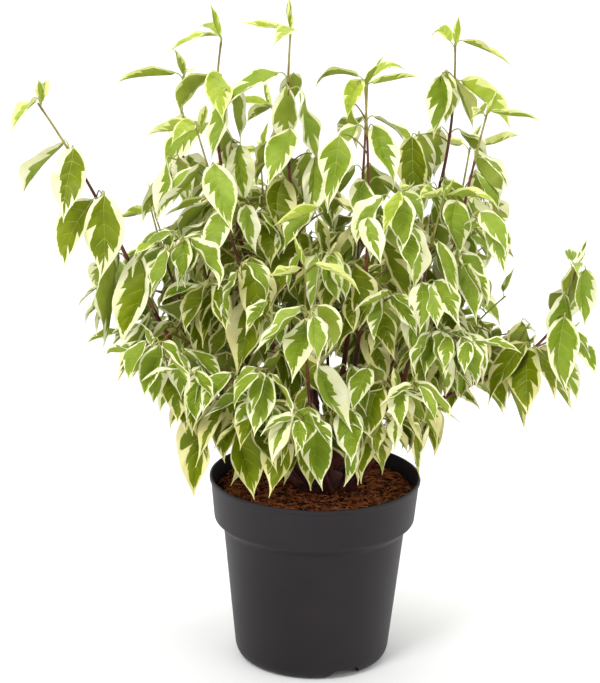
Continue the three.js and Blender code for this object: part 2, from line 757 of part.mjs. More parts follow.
function sideShoot(curve) {
  const slim = (along) => {
    const share = along > 0 ? 1 - SIDE_SHOOT_TAPER * along : SIDE_SHOOT_TAPER;
    return SIDE_SHOOT_RADIUS * TWIG_STOUTNESS * share;
  };
  return solidOf(taperedLimb(curve, SIDE_SHOOT_RINGS, slim, TWIG_SIDES, false));
}

// One mass of foliage as a single solid: stem, side shoots and leaves fused. A shoot or leaf
// that would still cut into another stem, or into a mass that is already there, is left out.
function foliage(stem, index, stems, crown) {
  const grown = growFoliage(stem, index, stems, crown);
  const obstacles = stems.flatMap((other) => (other === stem ? other.bough : other.solids));
  const growth = [...grown.shoots.map(sideShoot), ...grown.leaves.map(leafSolid)].filter(
    (solid) => !obstacles.some((obstacle) => overlaps(solid, obstacle)),
  );
  const bodies = Manifold.union([stem.leader, ...growth])
    .simplify(FINEST)
    .decompose();
  bodies.sort((a, b) => b.volume() - a.volume());
  stem.solids = [stem.bough, bodies[0]];
  return piece("foliage_" + stem.place, geometryOf(bodies[0]), LEAF_GREEN, 0.5);
}

const stems = [
  ...INNER_STEMS.map((row, i) => stemLine(row, INNER_RING, i, INNER_STEMS.length)),
  ...OUTER_STEMS.map((row, i) => stemLine(row, OUTER_RING, i, OUTER_STEMS.length)),
];
for (const stem of stems) {
  stem.barePoints = pointsAlong(stem.curve, 0, stem.bare, LINE_STEPS);
  stem.leafyPoints = pointsAlong(stem.curve, stem.bare, 1, LINE_STEPS);
  stem.rings = evenSteps(stem.bare, 1, LEAFY_RINGS);
  stem.bough = bough(stem);
  stem.leader = leader(stem);
  stem.solids = [stem.bough, stem.leader];
}
const crown = {
  leaves: [],
  lines: stems.flatMap((stem) => linesAlong(stem.curve, 0, 1, LINE_STEPS)),
};

const shrub = new THREE.Group();
shrub.name = "potted_dogwood";
shrub.add(pot(), soil(), footStem());
for (const stem of stems) {
  shrub.add(piece("stem_" + stem.place, geometryOf(stem.bough), BARK_RED, 0.6));
}
stems.forEach((stem, index) => shrub.add(foliage(stem, index, stems, crown)));

export default shrub;
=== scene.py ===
# %% [markdown]
# # A dogwood with white-edged leaves, in its nursery pot
# The shrub is many thin stems that rise from one foot, fan outwards and end in whips of
# hanging, pointed leaves: green in the middle, cream at the edge, the two colours meeting in a
# torn line. Everything is in millimetres here, and is turned into metres when a mesh is made.
# The frame comes first: it is the finished construction that every piece below is built on.

# %% Load the frame
import math
from types import SimpleNamespace

import bpy
import numpy as np
from mathutils import Matrix


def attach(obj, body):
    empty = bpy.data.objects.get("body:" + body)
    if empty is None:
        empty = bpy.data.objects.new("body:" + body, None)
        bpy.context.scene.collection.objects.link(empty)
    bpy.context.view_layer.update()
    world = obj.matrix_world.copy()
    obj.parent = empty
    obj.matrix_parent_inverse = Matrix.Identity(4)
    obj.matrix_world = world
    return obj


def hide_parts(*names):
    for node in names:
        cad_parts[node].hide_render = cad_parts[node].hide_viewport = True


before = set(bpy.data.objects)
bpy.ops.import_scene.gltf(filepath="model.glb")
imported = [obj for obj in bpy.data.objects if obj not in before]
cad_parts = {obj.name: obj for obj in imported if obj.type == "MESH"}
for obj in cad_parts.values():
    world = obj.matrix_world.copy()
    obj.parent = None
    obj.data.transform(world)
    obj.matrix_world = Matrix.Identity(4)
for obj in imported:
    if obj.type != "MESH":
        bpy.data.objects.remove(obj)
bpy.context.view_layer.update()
stem_nodes = [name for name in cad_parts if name.startswith("stem_")]
foliage_nodes = [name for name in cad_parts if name.startswith("foliage_")]
print(len(stem_nodes), "bare stems and", len(foliage_nodes), "masses of foliage in the frame")

# %% [markdown]
# ## Camera
# The camera stands where the photographer stood: about two metres in front of the shrub,
# looking down at it, with a long lens and hardly any roll. Its place was worked out from the
# pot's rim, collar and foot, which are circles of known size.

# %% Place the camera
MM = 0.001
CAMERA_PLACE = (-17.6, -2087.4, 933.9)
CAMERA_DOWN = 16.22
CAMERA_ROLL = 1.11
CAMERA_LENS = 117.07
SENSOR = 36

eye = bpy.data.cameras.new("camera")
eye.lens = CAMERA_LENS
eye.sensor_width = SENSOR
camera = bpy.data.objects.new("camera", eye)
camera.matrix_world = (
    Matrix.Translation([x * MM for x in CAMERA_PLACE])
    @ Matrix.Rotation(math.radians(90 - CAMERA_DOWN), 4, "X")
    @ Matrix.Rotation(math.radians(CAMERA_ROLL), 4, "Z")
)
bpy.context.scene.collection.objects.link(camera)
bpy.context.scene.camera = camera
print("camera", round(math.hypot(*CAMERA_PLACE)), "mm from the pot's foot")

# %% [markdown]
# ## One shape for everything: the closed sleeve
# A pot, a stem, a leaf stalk and even a leaf blade can all be drawn in one way: a loop of
# points is carried along a path, and both ends are pinched shut. A pot's loop is a circle that
# follows its profile. A blade's loop is a flat slit that grows wide and narrow again. Building
# them all as whole arrays keeps hundreds of leaves as quick as one.

# %% Sleeves
def sleeve_faces(rings, sides):
    """The triangles of one sleeve. Point 0 is its start, then come the rings, then its end.
    Two neighbours on a ring and the two above them make two triangles."""
    ring, turn = np.meshgrid(np.arange(rings - 1), np.arange(sides), indexing="ij")
    here = (1 + ring * sides + turn).ravel()
    beside = (1 + ring * sides + (turn + 1) % sides).ravel()
    walls = [(here, beside, beside + sides), (here, beside + sides, here + sides)]
    around = np.arange(sides)
    after = (around + 1) % sides
    top = 1 + (rings - 1) * sides
    ends = [
        (0 * around, 1 + after, 1 + around),
        (top + around, top + after, 0 * around + top + sides),
    ]
    return np.concatenate([np.stack(face, axis=1) for face in walls + ends])


def sleeves(start, rings, end):
    """Many sleeves of one make, as (points, faces). start and end hold a point for each sleeve,
    and rings has the shape (sleeves, rings, points on a ring, 3)."""
    count, ring_count, sides, _ = rings.shape
    body = rings.reshape(count, ring_count * sides, 3)
    points = np.concatenate([start[:, None], body, end[:, None]], axis=1)
    offsets = np.arange(count) * (ring_count * sides + 2)
    faces = sleeve_faces(ring_count, sides)[None] + offsets[:, None, None]
    return points.reshape(-1, 3), faces.reshape(-1, 3)


print(len(sleeve_faces(3, 8)), "triangles close a sleeve of three rings of eight points")

# %% Joining shapes, and rings along a path
TINY = 1e-12


def joined(parts):
    """Several (points, faces) pairs as one."""
    offsets = np.cumsum([0] + [len(points) for points, _ in parts[:-1]])
    points = np.concatenate([points for points, _ in parts])
    return points, np.concatenate([faces + o for (_, faces), o in zip(parts, offsets)])


def facing_out(points, faces):
    """The same faces, turned round if they point inwards: a closed shape's corners taken three
    at a time span a volume, which is negative where the faces look in."""
    a, b, c = (points[faces[:, i]] for i in range(3))
    volume = np.einsum("ij,ij->i", a, np.cross(b, c)).sum()
    return faces if volume > 0 else faces[:, ::-1]


def unit(vectors):
    """The same directions, one long. Nothing is divided by less than a tiny length."""
    return vectors / np.maximum(np.linalg.norm(vectors, axis=-1, keepdims=True), TINY)


def tube_rings(paths, radii, sides, guide):
    """Rings round paths of the shape (tubes, points, 3). Each ring lies across its path: its
    first direction is the guide with its part along the path taken away."""
    along = unit(np.gradient(paths, axis=1))
    guide = np.broadcast_to(guide, paths.shape)
    first = unit(guide - (guide * along).sum(-1, keepdims=True) * along)
    second = np.cross(along, first)
    turn = np.arange(sides) * 2 * np.pi / sides
    cosine, sine = np.cos(turn)[:, None], np.sin(turn)[:, None]
    circle = cosine * first[:, :, None] + sine * second[:, :, None]
    return paths[:, :, None] + np.asarray(radii)[:, :, None, None] * circle


print("the direction of (3, 4) is", unit(np.array([3.0, 4.0])))

# %% [markdown]
# ## From arrays to objects
# Blender can take a mesh point by point, but this crown has about a million triangles. Handing
# over whole arrays takes a moment instead. Edges that bend by more than a set angle are kept
# sharp, so that a pot's lip looks crisp while a leaf and a stem look smooth.

# %% Pieces
SHARP_ANGLE = math.radians(48)


def make_piece(name, points, faces, material):
    """Puts points in millimetres and triangles into a mesh object that rides on the plant."""
    mesh = bpy.data.meshes.new(name)
    mesh.vertices.add(len(points))
    mesh.vertices.foreach_set("co", (points * MM).astype(np.float32).ravel())
    mesh.loops.add(faces.size)
    mesh.loops.foreach_set("vertex_index", facing_out(points, faces).astype(np.int32).ravel())
    mesh.polygons.add(len(faces))
    mesh.polygons.foreach_set("loop_start", np.arange(0, faces.size, 3, dtype=np.int32))
    mesh.update(calc_edges=True)
    mesh.shade_smooth()
    mesh.set_sharp_from_angle(angle=SHARP_ANGLE)
    mesh.materials.append(material)
    piece = bpy.data.objects.new(name, mesh)
    bpy.context.scene.collection.objects.link(piece)
    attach(piece, "root")
    print(f"{name}: {len(faces)} triangles")
    return piece

# %% [markdown]
# ## Finishes
# Each colour is a material of its own, because a leaf's green and cream meet along a line that
# is modelled, not painted. A picture of a leaf could carry both colours, but every leaf would
# then be the same. Within a colour, a soft noise in the plant's own space moves the tone a
# little from leaf to leaf, and a finer noise lifts the surface.

# %% A finish
TONE_BAND = (0.35, 0.65)
TONE_DETAIL = 3
RELIEF_DETAIL = 4


def from_screen(red, green, blue):
    """A colour read off a screen, 0 to 255, as the linear light that a shader works in: the
    standard curve for screens is straight near black and a power of 2.4 above that."""
    share = np.array([red, green, blue]) / 255
    low, high = share / 12.92, ((share + 0.055) / 1.055) ** 2.4
    return (*np.where(share <= 0.04045, low, high), 1.0)


def finish(name, dark, light, patch, roughness, grain=0, relief=0, shine=0.3):
    """A surface that wanders between two tones in patches of a given size, with a relief whose
    grain and height are in millimetres."""
    material = bpy.data.materials.new(name)
    material.use_nodes = True
    nodes, links = material.node_tree.nodes, material.node_tree.links
    shader = nodes["Principled BSDF"]
    shader.inputs["Roughness"].default_value = roughness
    shader.inputs["Specular IOR Level"].default_value = shine
    place = nodes.new("ShaderNodeTexCoord")
    noise = nodes.new("ShaderNodeTexNoise")
    noise.inputs["Scale"].default_value = 1 / (patch * MM)
    noise.inputs["Detail"].default_value = TONE_DETAIL
    ramp = nodes.new("ShaderNodeValToRGB")
    for element, position, tone in zip(ramp.color_ramp.elements, TONE_BAND, (dark, light)):
        element.position = position
        element.color = from_screen(*tone)
    links.new(place.outputs["Object"], noise.inputs["Vector"])
    links.new(noise.outputs["Fac"], ramp.inputs["Fac"])
    links.new(ramp.outputs["Color"], shader.inputs["Base Color"])
    if relief:
        fine = nodes.new("ShaderNodeTexNoise")
        fine.inputs["Scale"].default_value = 1 / (grain * MM)
        fine.inputs["Detail"].default_value = RELIEF_DETAIL
        bump = nodes.new("ShaderNodeBump")
        bump.inputs["Distance"].default_value = relief * MM
        links.new(place.outputs["Object"], fine.inputs["Vector"])
        links.new(fine.outputs["Fac"], bump.inputs["Height"])
        links.new(bump.outputs["Normal"], shader.inputs["Normal"])
    return material


print("mid grey on a screen is", round(float(from_screen(128, 128, 128)[0]), 3), "as linear light")

# %% [markdown]
# ## The branching rule
# The construction grew its foliage by a rule with a fixed seed, and the same rule is written
# here again, so each leaf hangs where its solid does. Leaves could be scattered over a ball
# instead, but then no leaf would have a twig to hang from. It starts with a curve: each stem,
# shoot and twig follows a few handles.

# %% Curves
UP = np.array([0.0, 0.0, 1.0])


def bezier(handles, along):
    """Points of a curve at shares of the way along it: each handle is weighted by its
    Bernstein polynomial, C(n, k) t^k (1 - t)^(n - k)."""
    along = np.asarray(along, float)[..., None]
    last = len(handles) - 1
    weights = [math.comb(last, k) * along**k * (1 - along) ** (last - k) for k in range(last + 1)]
    return sum(weight * handle for weight, handle in zip(weights, handles))


def bearing_line(degrees):
    """The level direction at an angle: its parts are the angle's cosine and sine."""
    return np.array([math.cos(math.radians(degrees)), math.sin(math.radians(degrees)), 0.0])


print("a bearing of 90 degrees points along", bearing_line(90).round(3))

# %% [markdown]
# ## The stems
# Seven stems rise from a short woody foot, and the rest from the soil round it. The tips in
# front were placed where the photograph shows them, and those at the back were guessed from how
# dense the crown is. A stem could be drawn point by point, but two lean angles say as much: one
# curve leaves its foot at the first angle from upright and reaches its tip at the second. Two
# stems stand apart from the body, with longer steps between their leaves and few side shoots.

# %% Where each tip is, how foot and tip lean, and where the leaves begin
INNER_STEMS = [
    ("tall_right", (125, 30, 618), (16, -3), 0.2),
    ("back_high", (45, 125, 565), (26, 2), 0.2),
    ("back_middle", (-47, 75, 542), (14, -2), 0.2),
    ("tall_left", (-98, 30, 618), (14, -8), 0.2),
    ("tall_middle", (-32, 0, 632), (4, -3), 0.26),
    ("front_left", (-117, -75, 552), (26, 18), 0.2),
    ("front_middle", (38, -45, 588), (24, -12), 0.24),
]
OUTER_STEMS = [
    ("right", (153, -35, 562), (33, 13), 0.26),
    ("far_right", (243, -20, 412), (18, 0), 0.34, 36, 0.3),
    ("low_right", (186, 45, 365), (50, 50), 0.3),
    ("back_right", (150, 118, 500), (38, 10), 0.26),
    ("low_back_right", (120, 142, 325), (46, 66), 0.34),
    ("low_back", (8, 178, 342), (46, 56), 0.3),
    ("back", (-62, 160, 482), (38, 8), 0.26),
    ("low_back_left", (-112, 138, 315), (42, 70), 0.34),
    ("back_far_left", (-168, 118, 425), (45, 22), 0.28),
    ("back_left", (-137, 75, 574), (28, -4), 0.3),
    ("left", (-168, 40, 455), (40, 14), 0.3),
    ("far_left", (-268, -25, 562), (52, 34), 0.36, 58, 0.2),
    ("low_left", (-158, -62, 332), (52, 62), 0.32),
    ("low_front_left", (-102, -90, 294), (40, 84), 0.3),
    ("low_front", (-48, -84, 286), (20, 78), 0.26),
    ("front", (-14, -118, 430), (46, 4), 0.22),
    ("low_front_right", (74, -102, 304), (34, 78), 0.3),
    ("front_right", (112, -88, 492), (42, 18), 0.2),
]
print(len(INNER_STEMS), "stems rise from the foot and", len(OUTER_STEMS), "from the soil")

# %% Lay out the stems
GAP = 0.3
SOIL_TOP = 173
FOOT_CENTRE = np.array([12.0, 10.0, 0.0])
FOOT_TOP = 199
INNER_RING = SimpleNamespace(radius=9, first_angle=10, base=FOOT_TOP + GAP)
OUTER_RING = SimpleNamespace(radius=25, first_angle=-18, base=SOIL_TOP + GAP)
LEAFY_RINGS = 6
HANDLE = 0.42
THINNEST_FOOT = 2.1
THICKENING = 0.0034
LINE_STEPS = 24
NODE_SPACING = 52
SIDE_SHOOT_CHANCE = 0.7


def stem_line(row, ring, index, count):
    """A stem from its foot on the ring to its tip. Its handles are a share of its length long,
    and lean outwards from upright by the row's two angles. A stem that stands apart ends its
    row with its own spacing of nodes and its own chance of side shoots."""
    place, tip, lean, bare = row[:4]
    spacing, shoots = row[4:] or (NODE_SPACING, SIDE_SHOOT_CHANCE)
    foot = FOOT_CENTRE + ring.radius * bearing_line(ring.first_angle + 360 / count * index)
    foot[2] = ring.base
    tip = np.array(tip, float)
    across = unit((tip - foot) * (1, 1, 0))
    length = np.linalg.norm(tip - foot)
    turns = [math.radians(angle) for angle in lean]
    low, high = (HANDLE * length * (across * math.sin(t) + UP * math.cos(t)) for t in turns)
    handles = (foot, foot + low, tip - high, tip)
    return SimpleNamespace(
        place=place,
        handles=handles,
        bare=bare,
        spacing=spacing,
        shoots=shoots,
        foot_radius=THINNEST_FOOT + THICKENING * length,
        rings=np.linspace(bare, 1, LEAFY_RINGS + 1),
        points=bezier(handles, np.linspace(0, 1, LINE_STEPS + 1)),
        bare_points=bezier(handles, np.linspace(0, bare, LINE_STEPS + 1)),
        leafy_points=bezier(handles, np.linspace(bare, 1, LINE_STEPS + 1)),
    )


stems = [stem_line(row, INNER_RING, i, len(INNER_STEMS)) for i, row in enumerate(INNER_STEMS)]
stems += [stem_line(row, OUTER_RING, i, len(OUTER_STEMS)) for i, row in enumerate(OUTER_STEMS)]
all_leafy = np.stack([stem.leafy_points for stem in stems])
all_bare = np.stack([stem.bare_points for stem in stems])
foot_radii = np.array([stem.foot_radius for stem in stems])
print(len(stems), "stems,", round(max(s.handles[3][2] for s in stems)), "mm to the tallest tip")

# %% [markdown]
# ## Room
# Leaves and twigs on a real shrub push each other aside. Here nothing is pushed: before a leaf
# or a shoot is placed, its points are tested against the pot, the soil, the bare stems and the
# lines of all stems, and each mass of foliage keeps to the space round its own stem. Testing
# points against lines is quick, and needs no solid.

# %% The pot's outline
RIM_RADIUS = 105
RIM_HEIGHT = 189.5
WALL = 2.2
COLLAR_RADIUS = 99.85
COLLAR_BOTTOM = 146
BODY_TOP_RADIUS = 90.6
BODY_TOP = 137
BODY_BOTTOM_RADIUS = 77.2
BASE_ROUNDING = 10
GROUND_RADIUS = 68.4
POT_HEIGHTS = (0, BASE_ROUNDING, BODY_TOP, COLLAR_BOTTOM, RIM_HEIGHT)
POT_RADII = (GROUND_RADIUS, BODY_BOTTOM_RADIUS, BODY_TOP_RADIUS, COLLAR_RADIUS, RIM_RADIUS)


def pot_radius(height):
    """The radius of the pot's outer face: straight slopes between its steps."""
    return np.interp(height, POT_HEIGHTS, POT_RADII)


print("the pot is", RIM_HEIGHT, "mm tall and", 2 * RIM_RADIUS, "mm across its rim")

# %% What a point has to keep clear of
SOIL_SWELL = 2.4
FOOT_FLARE_RADIUS = 17
POT_MARGIN = 3
STEM_MARGIN = 5
LIMB_MARGIN = 3
SPACE_REACH = 34
CROWN_MIDDLE = -16
CROWN_HALF_WIDTH = 274


def clear_of_pot(points):
    """Whether each point is above the rim, outside it, or over the soil but not at the foot."""
    radius = np.hypot(points[:, 0], points[:, 1])
    foot_distance = np.hypot(points[:, 0] - FOOT_CENTRE[0], points[:, 1] - FOOT_CENTRE[1])
    inside = pot_radius(SOIL_TOP) - WALL - 2 * POT_MARGIN
    over_soil = (points[:, 2] > SOIL_TOP + SOIL_SWELL + POT_MARGIN) & (radius < inside)
    over_soil &= foot_distance > FOOT_FLARE_RADIUS + POT_MARGIN
    return (points[:, 2] > RIM_HEIGHT + POT_MARGIN) | (radius > RIM_RADIUS + POT_MARGIN) | over_soil


def distances(points, lines):
    """How far each point is from each line, as the least distance to the line's points."""
    return np.linalg.norm(points[:, None, None] - lines[None], axis=-1).min(axis=-1)


def fits(points, index):
    """Whether points stay in the crown and in the space of the stem with this index."""
    if np.any(np.abs(points[:, 0] - CROWN_MIDDLE) > CROWN_HALF_WIDTH):
        return False
    leafy = distances(points, all_leafy)
    own = leafy[:, [index]]
    others = np.delete(leafy, index, axis=1)
    if np.any(others < STEM_MARGIN) or np.any(others < own - SPACE_REACH):
        return False
    if np.any(distances(points, all_bare) < foot_radii + LIMB_MARGIN):
        return False
    return bool(np.all(clear_of_pot(points)))


print("a mass reaches past the middle between two stems by", SPACE_REACH / 2, "mm at most")

# %% [markdown]
# ## Leaves as the rule sees them
# While the crown grows, a leaf is only five corners: one at its root, one at each side, one
# below its middle and its tip. That is enough to tell whether two leaves touch or a twig runs
# through one, and it is the shape that the construction's leaves have.

# %% Does anything cross?
def pierce(lines, corners):
    """Whether any line, a pair of points, runs through any triangle. The line meets the
    triangle's plane at a share t of its length, and the crossing lies inside when both of its
    triangle coordinates are positive and add up to less than 1."""
    start, way = lines[:, None, 0], lines[:, None, 1] - lines[:, None, 0]
    a, b, c = (corners[None, :, i] for i in range(3))
    normal = np.cross(b - a, c - a)
    facing = (way * normal).sum(-1)
    sign = np.sign(facing)
    offset = start - a
    first = sign * (way * np.cross(offset, c - a)).sum(-1)
    second = sign * (way * np.cross(b - a, offset)).sum(-1)
    reach = -sign * (offset * normal).sum(-1)
    size = np.abs(facing)
    inside = (first >= 0) & (second >= 0) & (first + second <= size)
    return bool(np.any((sign != 0) & inside & (reach >= 0) & (reach < size)))


a_triangle = np.array([[(0, 0, 0), (1, 0, 0), (0, 1, 0)]], float)
an_upright = np.array([[(0.3, 0.3, -1), (0.3, 0.3, 1)]])
print("an upright line through a level triangle crosses it:", pierce(an_upright, a_triangle))

# %% Five corners each
LEAF_EDGES = np.array([(0, 1), (0, 2), (0, 3), (4, 1), (4, 2), (4, 3), (1, 2)])
LEAF_FACES = np.array([(0, 1, 2), (0, 1, 3), (0, 2, 3), (4, 1, 2), (4, 1, 3), (4, 2, 3)])
LEAF_WIDEST = 0.42
LEAF_KEEL = 0.07
CLEAR_OF_ROOT = 0.12
PETIOLE = 0.2


def blade_line(leaf, share):
    """The blade's middle line turns evenly from the angle at its base to the angle at its tip,
    so its run and fall are differences of a sine and a cosine. Gives the point, and the
    directions across the blade and out of its upper face."""
    start, end = np.radians(leaf.droop)
    turn = end - start
    now = start + turn * share
    run = leaf.length * (math.sin(now) - math.sin(start)) / turn
    climb = -leaf.length * (math.cos(now) - math.cos(start)) / turn
    heading = leaf.outward * math.cos(now) + UP * math.sin(now)
    level = np.cross(leaf.outward, UP)
    roll = math.radians(leaf.roll)
    across = level * math.cos(roll) + np.cross(heading, level) * math.sin(roll)
    return leaf.base + leaf.outward * run + UP * climb, across, np.cross(across, heading)


def leaf_corners(leaf):
    """The corner near the node, then both sides, the keel below the middle, and the tip."""
    widest, across, face = blade_line(leaf, LEAF_WIDEST)
    tip = blade_line(leaf, 1)[0]
    return np.array(
        [
            leaf.node + (widest - leaf.node) * CLEAR_OF_ROOT,
            widest - across * leaf.width / 2,
            widest + across * leaf.width / 2,
            widest - face * leaf.width * LEAF_KEEL,
            tip,
        ]
    )


def place_leaf(form, angle):
    """A leaf turned to an angle: its stalk points halfway between the node's angle and this."""
    stalk_angle = form["node_angle"] + (angle - form["node_angle"]) / 2
    rise = math.radians(form["rise"])
    stalk_out = bearing_line(stalk_angle)
    stalk = form["length"] * PETIOLE
    base = form["node"] + stalk * (stalk_out * math.cos(rise) + UP * math.sin(rise))
    return SimpleNamespace(**form, stalk_out=stalk_out, base=base, outward=bearing_line(angle))


print("a leaf of the rule has", len(LEAF_FACES), "faces, and a fold below its middle")

# %% The crown: everything placed so far
MEETING = 110
LEAF_MARGIN = 3.5


class Crown:
    """The leaves' corners and the twigs' straight pieces, kept as arrays that fill up."""

    def __init__(self, lines, room=4000):
        self.corners = np.zeros((room, 5, 3))
        self.lines = np.zeros((room, 2, 3))
        self.leaf_count = 0
        self.line_count = len(lines)
        self.lines[: len(lines)] = lines

    def near_corners(self, point):
        """The corners of the leaves whose middle is near enough to meet a new one."""
        placed = self.corners[: self.leaf_count]
        return placed[np.linalg.norm(placed[:, 3] - point, axis=1) < MEETING]

    def near_lines(self, point):
        """The straight pieces whose middle is near enough to meet a new leaf."""
        placed = self.lines[: self.line_count]
        return placed[np.linalg.norm(placed.mean(axis=1) - point, axis=1) < MEETING]

    def add_leaf(self, corners):
        """Keeps a leaf's five corners."""
        self.corners[self.leaf_count] = corners
        self.leaf_count += 1

    def add_lines(self, lines):
        """Keeps the straight pieces of a shoot."""
        self.lines[self.line_count : self.line_count + len(lines)] = lines
        self.line_count += len(lines)

    def has_room_for(self, corners, index):
        """Whether a leaf's corners keep clear of other leaves, and nothing crosses it. With
        an index they also stay in that stem's space, and without one clear of the pot."""
        centre = corners[3]
        near = self.near_corners(centre)
        gaps = np.linalg.norm(corners[1:, None] - near.reshape(1, -1, 3), axis=-1)
        if gaps.size and gaps.min() <= LEAF_MARGIN:
            return False
        if not (clear_of_pot(corners[1:]).all() if index is None else fits(corners[1:], index)):
            return False
        faces = near[:, LEAF_FACES].reshape(-1, 3, 3)
        edges = near[:, LEAF_EDGES].reshape(-1, 2, 3)
        if len(near) and pierce(corners[LEAF_EDGES], faces):
            return False
        if len(near) and pierce(edges, corners[LEAF_FACES]):
            return False
        lines = self.near_lines(centre)
        return not (len(lines) and pierce(lines, corners[LEAF_FACES]))


def pairs(points):
    """Neighbouring points of a path as straight pieces."""
    return np.stack([points[:-1], points[1:]], axis=1)


crown = Crown(np.concatenate([pairs(stem.points) for stem in stems]))
print(crown.line_count, "straight pieces of stem in the empty crown")

# %% [markdown]
# ## Growing a stem
# Up the leafy part of a stem, nodes come closer and closer together, each a quarter turn on,
# with two opposite leaves and often a side shoot. What would leave its stem's own space, or
# touch its neighbours, tries the next turn, and is left out when no turn fits. A library could
# draw the chances, but a short formula of its own gives the same values in any program.

# %% Chance
SEED_STEP = 7883
WARM_UP = 3


def seeded(seed):
    """Numbers from 0 up to 1 in a fixed order: each state is the last one times 1664525 plus
    1013904223, kept below 2 to the power 32."""
    state = seed * SEED_STEP

    def step():
        nonlocal state
        state = (state * 1664525 + 1013904223) % 2**32
        return state / 2**32

    for _ in range(WARM_UP):
        step()
    return step


def spans(random):
    """Turns numbers from 0 to 1 into values between two bounds."""

    def between(span):
        return span[0] + (span[1] - span[0]) * random()

    return between


print("the first chance of the first stem is", round(seeded(1)(), 4))

# %% One leaf
LEAF_LENGTH = 72
LEAF_LENGTHS = (0.86, 1.12)
LEAF_WIDTH = 0.53
YOUNG_LEAF_WIDTH = 0.31
LEAF_WIDTHS = (0.92, 1.08)
LEAF_ROLL = (-24, 24)
STALK_RISE = (25, 50)
YOUNG_STALK_LIFT = 20
BASE_DROOP = (-55, -10)
TIP_DROOP = (-102, -80)
YOUNG_BASE_LIFT = 55
YOUNG_TIP_LIFT = (40, 15)
LEAF_TURNS = (0, 25, -25, 50, -50, 80, -80)


def leaf_form(node, node_angle, size, youth, index, between):
    """A leaf's measures, each drawn between its bounds. Young leaves are narrow and stand up:
    their width, stalk, base and tip change in step with youth, which is 0 for a grown leaf."""
    length = LEAF_LENGTH * size * between(LEAF_LENGTHS)
    share = LEAF_WIDTH + (YOUNG_LEAF_WIDTH - LEAF_WIDTH) * min(1, youth)
    tip_lift = youth * (YOUNG_TIP_LIFT[0] + YOUNG_TIP_LIFT[1] * youth)
    form = {"node": node, "node_angle": node_angle, "length": length, "youth": youth}
    form["spray"] = index
    form["width"] = length * share * between(LEAF_WIDTHS)
    form["rise"] = between(STALK_RISE) + YOUNG_STALK_LIFT * youth
    base_droop = between(BASE_DROOP) + YOUNG_BASE_LIFT * youth
    form["droop"] = (base_droop, between(TIP_DROOP) + tip_lift)
    form["roll"] = between(LEAF_ROLL)
    return form


def settled(form, angle, crown, index):
    """A list of the leaf at the first turn from an angle at which the crown has room for it.
    The list is empty where no turn has room."""
    for turn in LEAF_TURNS:
        leaf = place_leaf(form, angle + turn)
        corners = leaf_corners(leaf)
        if crown.has_room_for(corners, index):
            crown.add_leaf(corners)
            return [leaf]
    return []


print("a grown leaf is", LEAF_LENGTH, "mm long and", round(LEAF_LENGTH * LEAF_WIDTH), "mm wide")

# %% One shoot
SHOOT_TURNS = (0, 180, 90, -90, 45, -45)
SIDE_SHOOT_BEND = 0.5
SIDE_SHOOT_REACH = 0.9
SIDE_SHOOT_STEPS = 4


def shoot_handles(start, length, lift, sag, angle, first_share, index, crown):
    """The three handles of a shoot at the first turn from an angle at which it fits, or None.
    It rises by its lift up to its elbow, and on by its sag, which may be below 0, to its end.
    What it keeps clear of begins at a first share of its length."""
    for turn in SHOOT_TURNS:
        out = bearing_line(angle + turn)
        elbow = start + length * (SIDE_SHOOT_BEND * out + lift * UP)
        end = start + length * (SIDE_SHOOT_REACH * out + (lift + sag) * UP)
        handles = (start, elbow, end)
        lines = pairs(bezier(handles, np.linspace(first_share, 1, SIDE_SHOOT_STEPS + 1)))
        near = crown.near_corners(elbow)[:, LEAF_FACES].reshape(-1, 3, 3)
        if fits(lines[:, 1], index) and not (len(near) and pierce(lines, near)):
            crown.add_lines(lines)
            return handles
    return None


print("a shoot tries", len(SHOOT_TURNS), "turns, and a leaf", len(LEAF_TURNS))

# %% Side shoots
SHOOTS_BELOW = 0.72
SECOND_SHOOTS_BELOW = 0.5
SHOOT_START = 0.08
SHOOT_TIP_YOUTH = 0.55
SIDE_SHOOT_LENGTH = 88
SIDE_SHOOT_SIZES = (0.75, 1.15)
SIDE_SHOOT_LIFT = (0.25, 0.6)
SIDE_SHOOT_SAG = (-0.25, 0.2)
SIDE_SHOOT_NODES = (0.42, 0.74, 0.97)
SIDE_SHOOT_RINGS = (0, 0.42, 0.74, 1)
SIDE_SHOOT_LEAF = 0.84
SIDE_SHOOT_SHRINK = 0.12


def on_limb(handles, rings, along):
    """The middle of a limb at a share of its curve, on the straight piece between two rings."""
    ends = bezier(handles, rings)
    return np.array([np.interp(along, rings, ends[:, axis]) for axis in range(3)])


def bearing(point):
    """The angle in degrees at which a point stands as seen from the foot's middle."""
    return math.degrees(math.atan2(point[1] - FOOT_CENTRE[1], point[0] - FOOT_CENTRE[0]))


print("a side shoot carries", 2 * len(SIDE_SHOOT_NODES), "leaves at most")

# %% One stem
LENGTH_STEPS = 200
NODE_CROWDING = 1.2
NODE_WOBBLE = 18
LAST_NODE = 0.985
FEWEST_NODES = 4
LOWEST_LEAF_SIZE = 0.86
SIZE_GAIN = 0.3
SIZE_LOSS = 0.4
SECOND_LEAF = (0.85, 1)
TURN_TO_LIGHT = 0.45
YOUNG_FROM = 0.84
SHORT_STEM = 200
SHORT_STEM_YOUTH = 0.6
TIP_LEAF = 0.42
TIP_LEAF_YOUTH = 2


